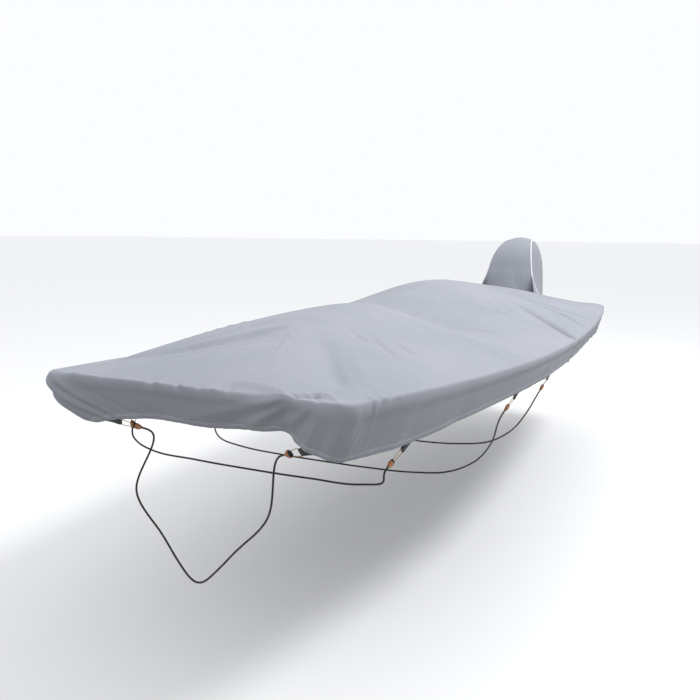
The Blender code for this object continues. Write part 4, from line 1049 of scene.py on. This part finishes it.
def webbingLoop(name, axes, cadNode):
    # The loop's side view as a smooth closed line, thickened, carried across the strip's width, which
    # narrows towards its end, with its long edges drawn in to round them
    past = np.concatenate([loop["past"], loop["past"][-2::-1]])
    opening = np.concatenate([loop["open"], -loop["open"][-2::-1]])
    spine = np.stack([past, opening], 1)
    places = runningLength(spine, 0)
    at = np.linspace(0, places[-1], 70)
    line = np.stack([smoothAlong(places, spine[:, k], at) for k in (0, 1)], 1)
    apart = np.sign(line[:, 1]) * np.maximum(np.abs(line[:, 1]), loop["open"][0])
    line[:, 1] = np.where(line[:, 0] < 0.005, apart, line[:, 1])
    run = unit(np.gradient(line, axis=0))
    off = np.stack([-run[:, 1], run[:, 0]], 1)
    reach = np.clip((line[:, 0] + 0.028) / 0.078, 0, 1)
    half = mix(fitting["topHalf"], fitting["endHalf"], reach)
    across = np.array([-1, -0.985, -0.94, -0.6, -0.2, 0.2, 0.6, 0.94, 0.985, 1.0])
    thin = np.array([0.45, 0.8, 1, 1, 1, 1, 1, 1, 0.8, 0.45])
    layers = []
    for sign in (1, -1):
        shifted = line[:, None] + sign * off[:, None] * (fitting["webbing"] / 2 * thin)[None, :, None]
        layers.append(placed(axes, shifted[..., 0], across[None] * half[:, None], shifted[..., 1]))
    outer, inner = layers
    rows, cols = outer.shape[:2]
    count = rows * cols
    i, j = np.meshgrid(np.arange(rows - 1), np.arange(cols - 1), indexing="ij")
    corner = i * cols + j
    quad = np.stack([corner, corner + 1, corner + cols + 1, corner + cols], -1).reshape(-1, 4)
    faces = [quad, quad[:, ::-1] + count]
    i = np.arange(rows - 1) * cols
    faces.append(np.stack([i, i + cols, i + cols + count, i + count], 1))
    i = i + cols - 1
    faces.append(np.stack([i + cols, i, i + count, i + cols + count], 1))
    j = np.arange(cols - 1)
    faces.append(np.stack([j + 1, j, j + count, j + 1 + count], 1))
    j = j + (rows - 1) * cols
    faces.append(np.stack([j, j + 1, j + 1 + count, j + count], 1))
    faces = np.concatenate(faces)
    uv = np.dstack([across[None] * half[:, None], np.broadcast_to(at[:, None], (rows, cols))]).reshape(-1, 2)
    points = np.concatenate([outer.reshape(-1, 3), inner.reshape(-1, 3)])
    piece = makeMesh(name, points, faces, np.concatenate([uv, uv]))
    turnOutwards(piece)
    return dress(piece, webbingBlack, cadNode)


def turnOutwards(piece):  # flips every face if the closed shape's signed volume is negative
    mesh = piece.data
    mesh.calc_loop_triangles()
    co = np.empty(len(mesh.vertices) * 3, np.float32)
    mesh.vertices.foreach_get("co", co)
    tri = np.empty(len(mesh.loop_triangles) * 3, np.int32)
    mesh.loop_triangles.foreach_get("vertices", tri)
    a, b, c = co.reshape(-1, 3)[tri.reshape(-1, 3)].transpose(1, 0, 2).astype(float)
    if np.einsum("ij,ij->i", a, np.cross(b, c)).sum() < 0:
        mesh.flip_normals()


def hookWire(name, axes, cadNode):
    bend = np.radians(np.linspace(0, 90, 9))
    corner = fitting["hookCorner"] * (1 - np.cos(bend))
    rise = fitting["hookCorner"] * (1 - np.sin(bend))
    leg = np.linspace(0, 1, 6)[:-1]
    legAcross = mix(fitting["hookEndHalf"], fitting["hookHalf"], leg)
    across = np.concatenate([legAcross, fitting["hookHalf"] - corner])
    legPull = mix(fitting["hookEnd"] - fitting["gap"], fitting["hookStart"] + fitting["hookCorner"], leg)
    pull = np.concatenate([legPull, fitting["hookStart"] + rise])
    across = np.concatenate([across, -across[::-1]])
    pull = np.concatenate([pull, pull[::-1]])
    piece = sweep(name, placed(axes, pull, across, 0.0), fitting["wire"] / 2, 12, platedWire)
    turnOutwards(piece)
    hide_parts(cadNode)
    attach(piece, "root")
    return piece


ovalRings = 22  # rings along a moulded part, before its closing ones
ovalSides = 28


def ovalSolid(name, axes, rings, surface, cadNode):
    # Oval sections along the pull, closed at both ends by shrinking rings
    places, finer = np.arange(len(rings), dtype=float), np.linspace(0, len(rings) - 1, ovalRings)
    pull, wide, deep = (smoothAlong(places, np.array(rings)[:, k], finer) for k in range(3))
    turns = np.linspace(0, 2 * np.pi, ovalSides, endpoint=False)
    pull = np.concatenate([[pull[0]], [pull[0]], pull, [pull[-1]], [pull[-1]]])
    endScale = np.array([0.02, 0.94] + [1.0] * ovalRings + [0.94, 0.02])
    pull[2] += 0.0006
    pull[-3] -= 0.0006
    wide = np.concatenate([[wide[0]] * 2, wide, [wide[-1]] * 2]) * endScale
    deep = np.concatenate([[deep[0]] * 2, deep, [deep[-1]] * 2]) * endScale
    square = 0.82  # a little squarer than an ellipse
    c, s = np.cos(turns), np.sin(turns)
    c, s = np.sign(c) * np.abs(c) ** square, np.sign(s) * np.abs(s) ** square
    grid = placed(axes, pull[:, None], wide[:, None] * c, deep[:, None] * s)
    rows, cols = grid.shape[:2]
    i, j = np.meshgrid(np.arange(rows - 1), np.arange(cols), indexing="ij")
    k = (j + 1) % cols
    quads = np.stack([i * cols + j, i * cols + k, (i + 1) * cols + k, (i + 1) * cols + j], -1).reshape(-1, 4)
    mesh = bpy.data.meshes.new(name)
    caps = [tuple(range(cols))[::-1], tuple(range((rows - 1) * cols, rows * cols))]
    mesh.from_pydata(grid.reshape(-1, 3).tolist(), [], [tuple(f) for f in quads.tolist()] + caps)
    mesh.shade_smooth()
    mesh.set_sharp_from_angle(angle=math.radians(50))
    thing = bpy.data.objects.new(name, mesh)
    bpy.context.scene.collection.objects.link(thing)
    turnOutwards(thing)
    return dress(thing, surface, cadNode)


for name in ties:
    tails, onCord = {}, []
    for side, sideName in ((1, "port"), (-1, "starboard")):
        axes = tieFrame(name, side)
        stem = f"{name}_{sideName}"
        title = name + sideName.title()
        collarEnd = fitting["hookEnd"] + fitting["collar"][2]
        capStart = collarEnd + fitting["gap"]
        capLong = fitting["cap"][2]
        capEnd = capStart + capLong
        cw, cd = fitting["collar"][0] / 2, fitting["collar"][1] / 2
        pw, pd, tail = fitting["cap"][0] / 2, fitting["cap"][1] / 2, fitting["capTail"]
        webbingLoop(title + "Webbing", axes, stem + "_webbing")
        hook = hookWire(title + "Hook", axes, stem + "_hook")
        collar = ovalSolid(title + "Collar", axes, (
            (fitting["hookEnd"], cw * 0.96, cd * 0.96), (fitting["hookEnd"] + 0.002, cw, cd),
            (collarEnd - 0.002, cw, cd), (collarEnd, cw * 0.96, cd * 0.96)), mouldedRubber, stem + "_collar")
        cap = ovalSolid(title + "Cap", axes, (
            (capStart, pw * 0.97, pd * 0.97), (capStart + 0.12 * capLong, pw, pd),
            (capStart + 0.35 * capLong, pw * 0.92, pd * 0.96),
            (capStart + 0.75 * capLong, pw * 0.62, pd * 0.82),
            (capEnd, tail, tail)), tanPlastic, stem + "_cap")
        onCord += [hook, collar, cap]
        tails[side] = placed(axes, np.array([0, 0.012, 0.030]) + capEnd + fitting["gap"], 0.0, 0.0)
    under = np.array(cordRoutes[name], float)
    back = under[-2::-1] * (-1, 1, 1)
    route, length = smoothRoute(np.concatenate([tails[1], under, back, tails[-1][::-1]]), 240)
    piece = sweep(name + "Cord", route, fitting["cord"] / 2, 14, cordSleeve)
    turnOutwards(piece)
    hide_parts(name + "_cord")
    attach(piece, "root")
    print(name, "tie made, cord", round(float(length), 3))


# Floor, light and camera

studio = {"floorLevel": -1.08, "floorSize": 200, "sky": 1.0, "ground": 0.27}
camera = {"place": (1.665, -4.618, 0.643), "yaw": 25.36, "down": 8.76, "roll": 0.52, "lens": 38.92}

floorMesh = bpy.data.meshes.new("studioFloor")
reach = studio["floorSize"]
floorPlan = ((-reach, -reach), (reach, -reach), (reach, reach), (-reach, reach))
floorCorners = [(x, y, studio["floorLevel"]) for x, y in floorPlan]
floorMesh.from_pydata(floorCorners, [], [(0, 1, 2, 3)])
floor = bpy.data.objects.new("studioFloor", floorMesh)
bpy.context.scene.collection.objects.link(floor)
floorPaint, _, floorShader = material("matt white floor", "#F4F4F4", 0.95)
floor.data.materials.append(floorPaint)
floor.visible_diffuse = False  # keeps its bounce off the skirts, which the sky alone lights

world = bpy.data.worlds.new("softSky")
bpy.context.scene.world = world
world.use_nodes = True
tree = world.node_tree
direction = node(tree, "ShaderNodeTexCoord").outputs["Generated"]
upward = maths(tree, "MULTIPLY_ADD", node(tree, "ShaderNodeSeparateXYZ", i0=direction).outputs["Z"], 0.5, 0.5)
blend = node(tree, "ShaderNodeValToRGB", Fac=upward)
blend.color_ramp.elements[0].position, blend.color_ramp.elements[1].position = 0.460, 0.475
blend.color_ramp.elements[0].color = (studio["ground"], studio["ground"], studio["ground"], 1)
blend.color_ramp.elements[1].color = (0.97, 0.98, 1.0, 1)
tree.links.new(blend.outputs["Color"], tree.nodes["Background"].inputs["Color"])
tree.nodes["Background"].inputs["Strength"].default_value = studio["sky"]


def areaLight(name, place, target, size, power):
    light = bpy.data.lights.new(name, "AREA")
    light.shape = "DISK"
    light.size = size
    light.energy = power
    lamp = bpy.data.objects.new(name, light)
    lamp.location = place
    away = np.array(target, float) - np.array(place, float)
    lamp.rotation_euler = mathutils.Vector(away).to_track_quat("-Z", "Y").to_euler()
    bpy.context.scene.collection.objects.link(lamp)
    return lamp


areaLight("softKey", (4.4, 1.2, 6.4), (0, 0.2, 0.1), 2.2, 320)

view = bpy.data.cameras.new("camera")
view.lens = camera["lens"]
view.sensor_width = 36
viewer = bpy.data.objects.new("camera", view)
viewer.location = camera["place"]
yaw, down, roll = (math.radians(camera[k]) for k in ("yaw", "down", "roll"))
viewer.rotation_mode = "XYZ"
look = np.array([-math.sin(yaw) * math.cos(down), math.cos(yaw) * math.cos(down), -math.sin(down)])
right = np.array([math.cos(yaw), math.sin(yaw), 0.0])
up = np.cross(right, look)
right, up = math.cos(roll) * right + math.sin(roll) * up, math.cos(roll) * up - math.sin(roll) * right
viewer.rotation_euler = mathutils.Matrix(np.stack([right, up, -look], 1).tolist()).to_euler()
bpy.context.scene.collection.objects.link(viewer)
bpy.context.scene.camera = viewer
bpy.context.scene.view_settings.view_transform = "Standard"
print("stage, light and camera set")
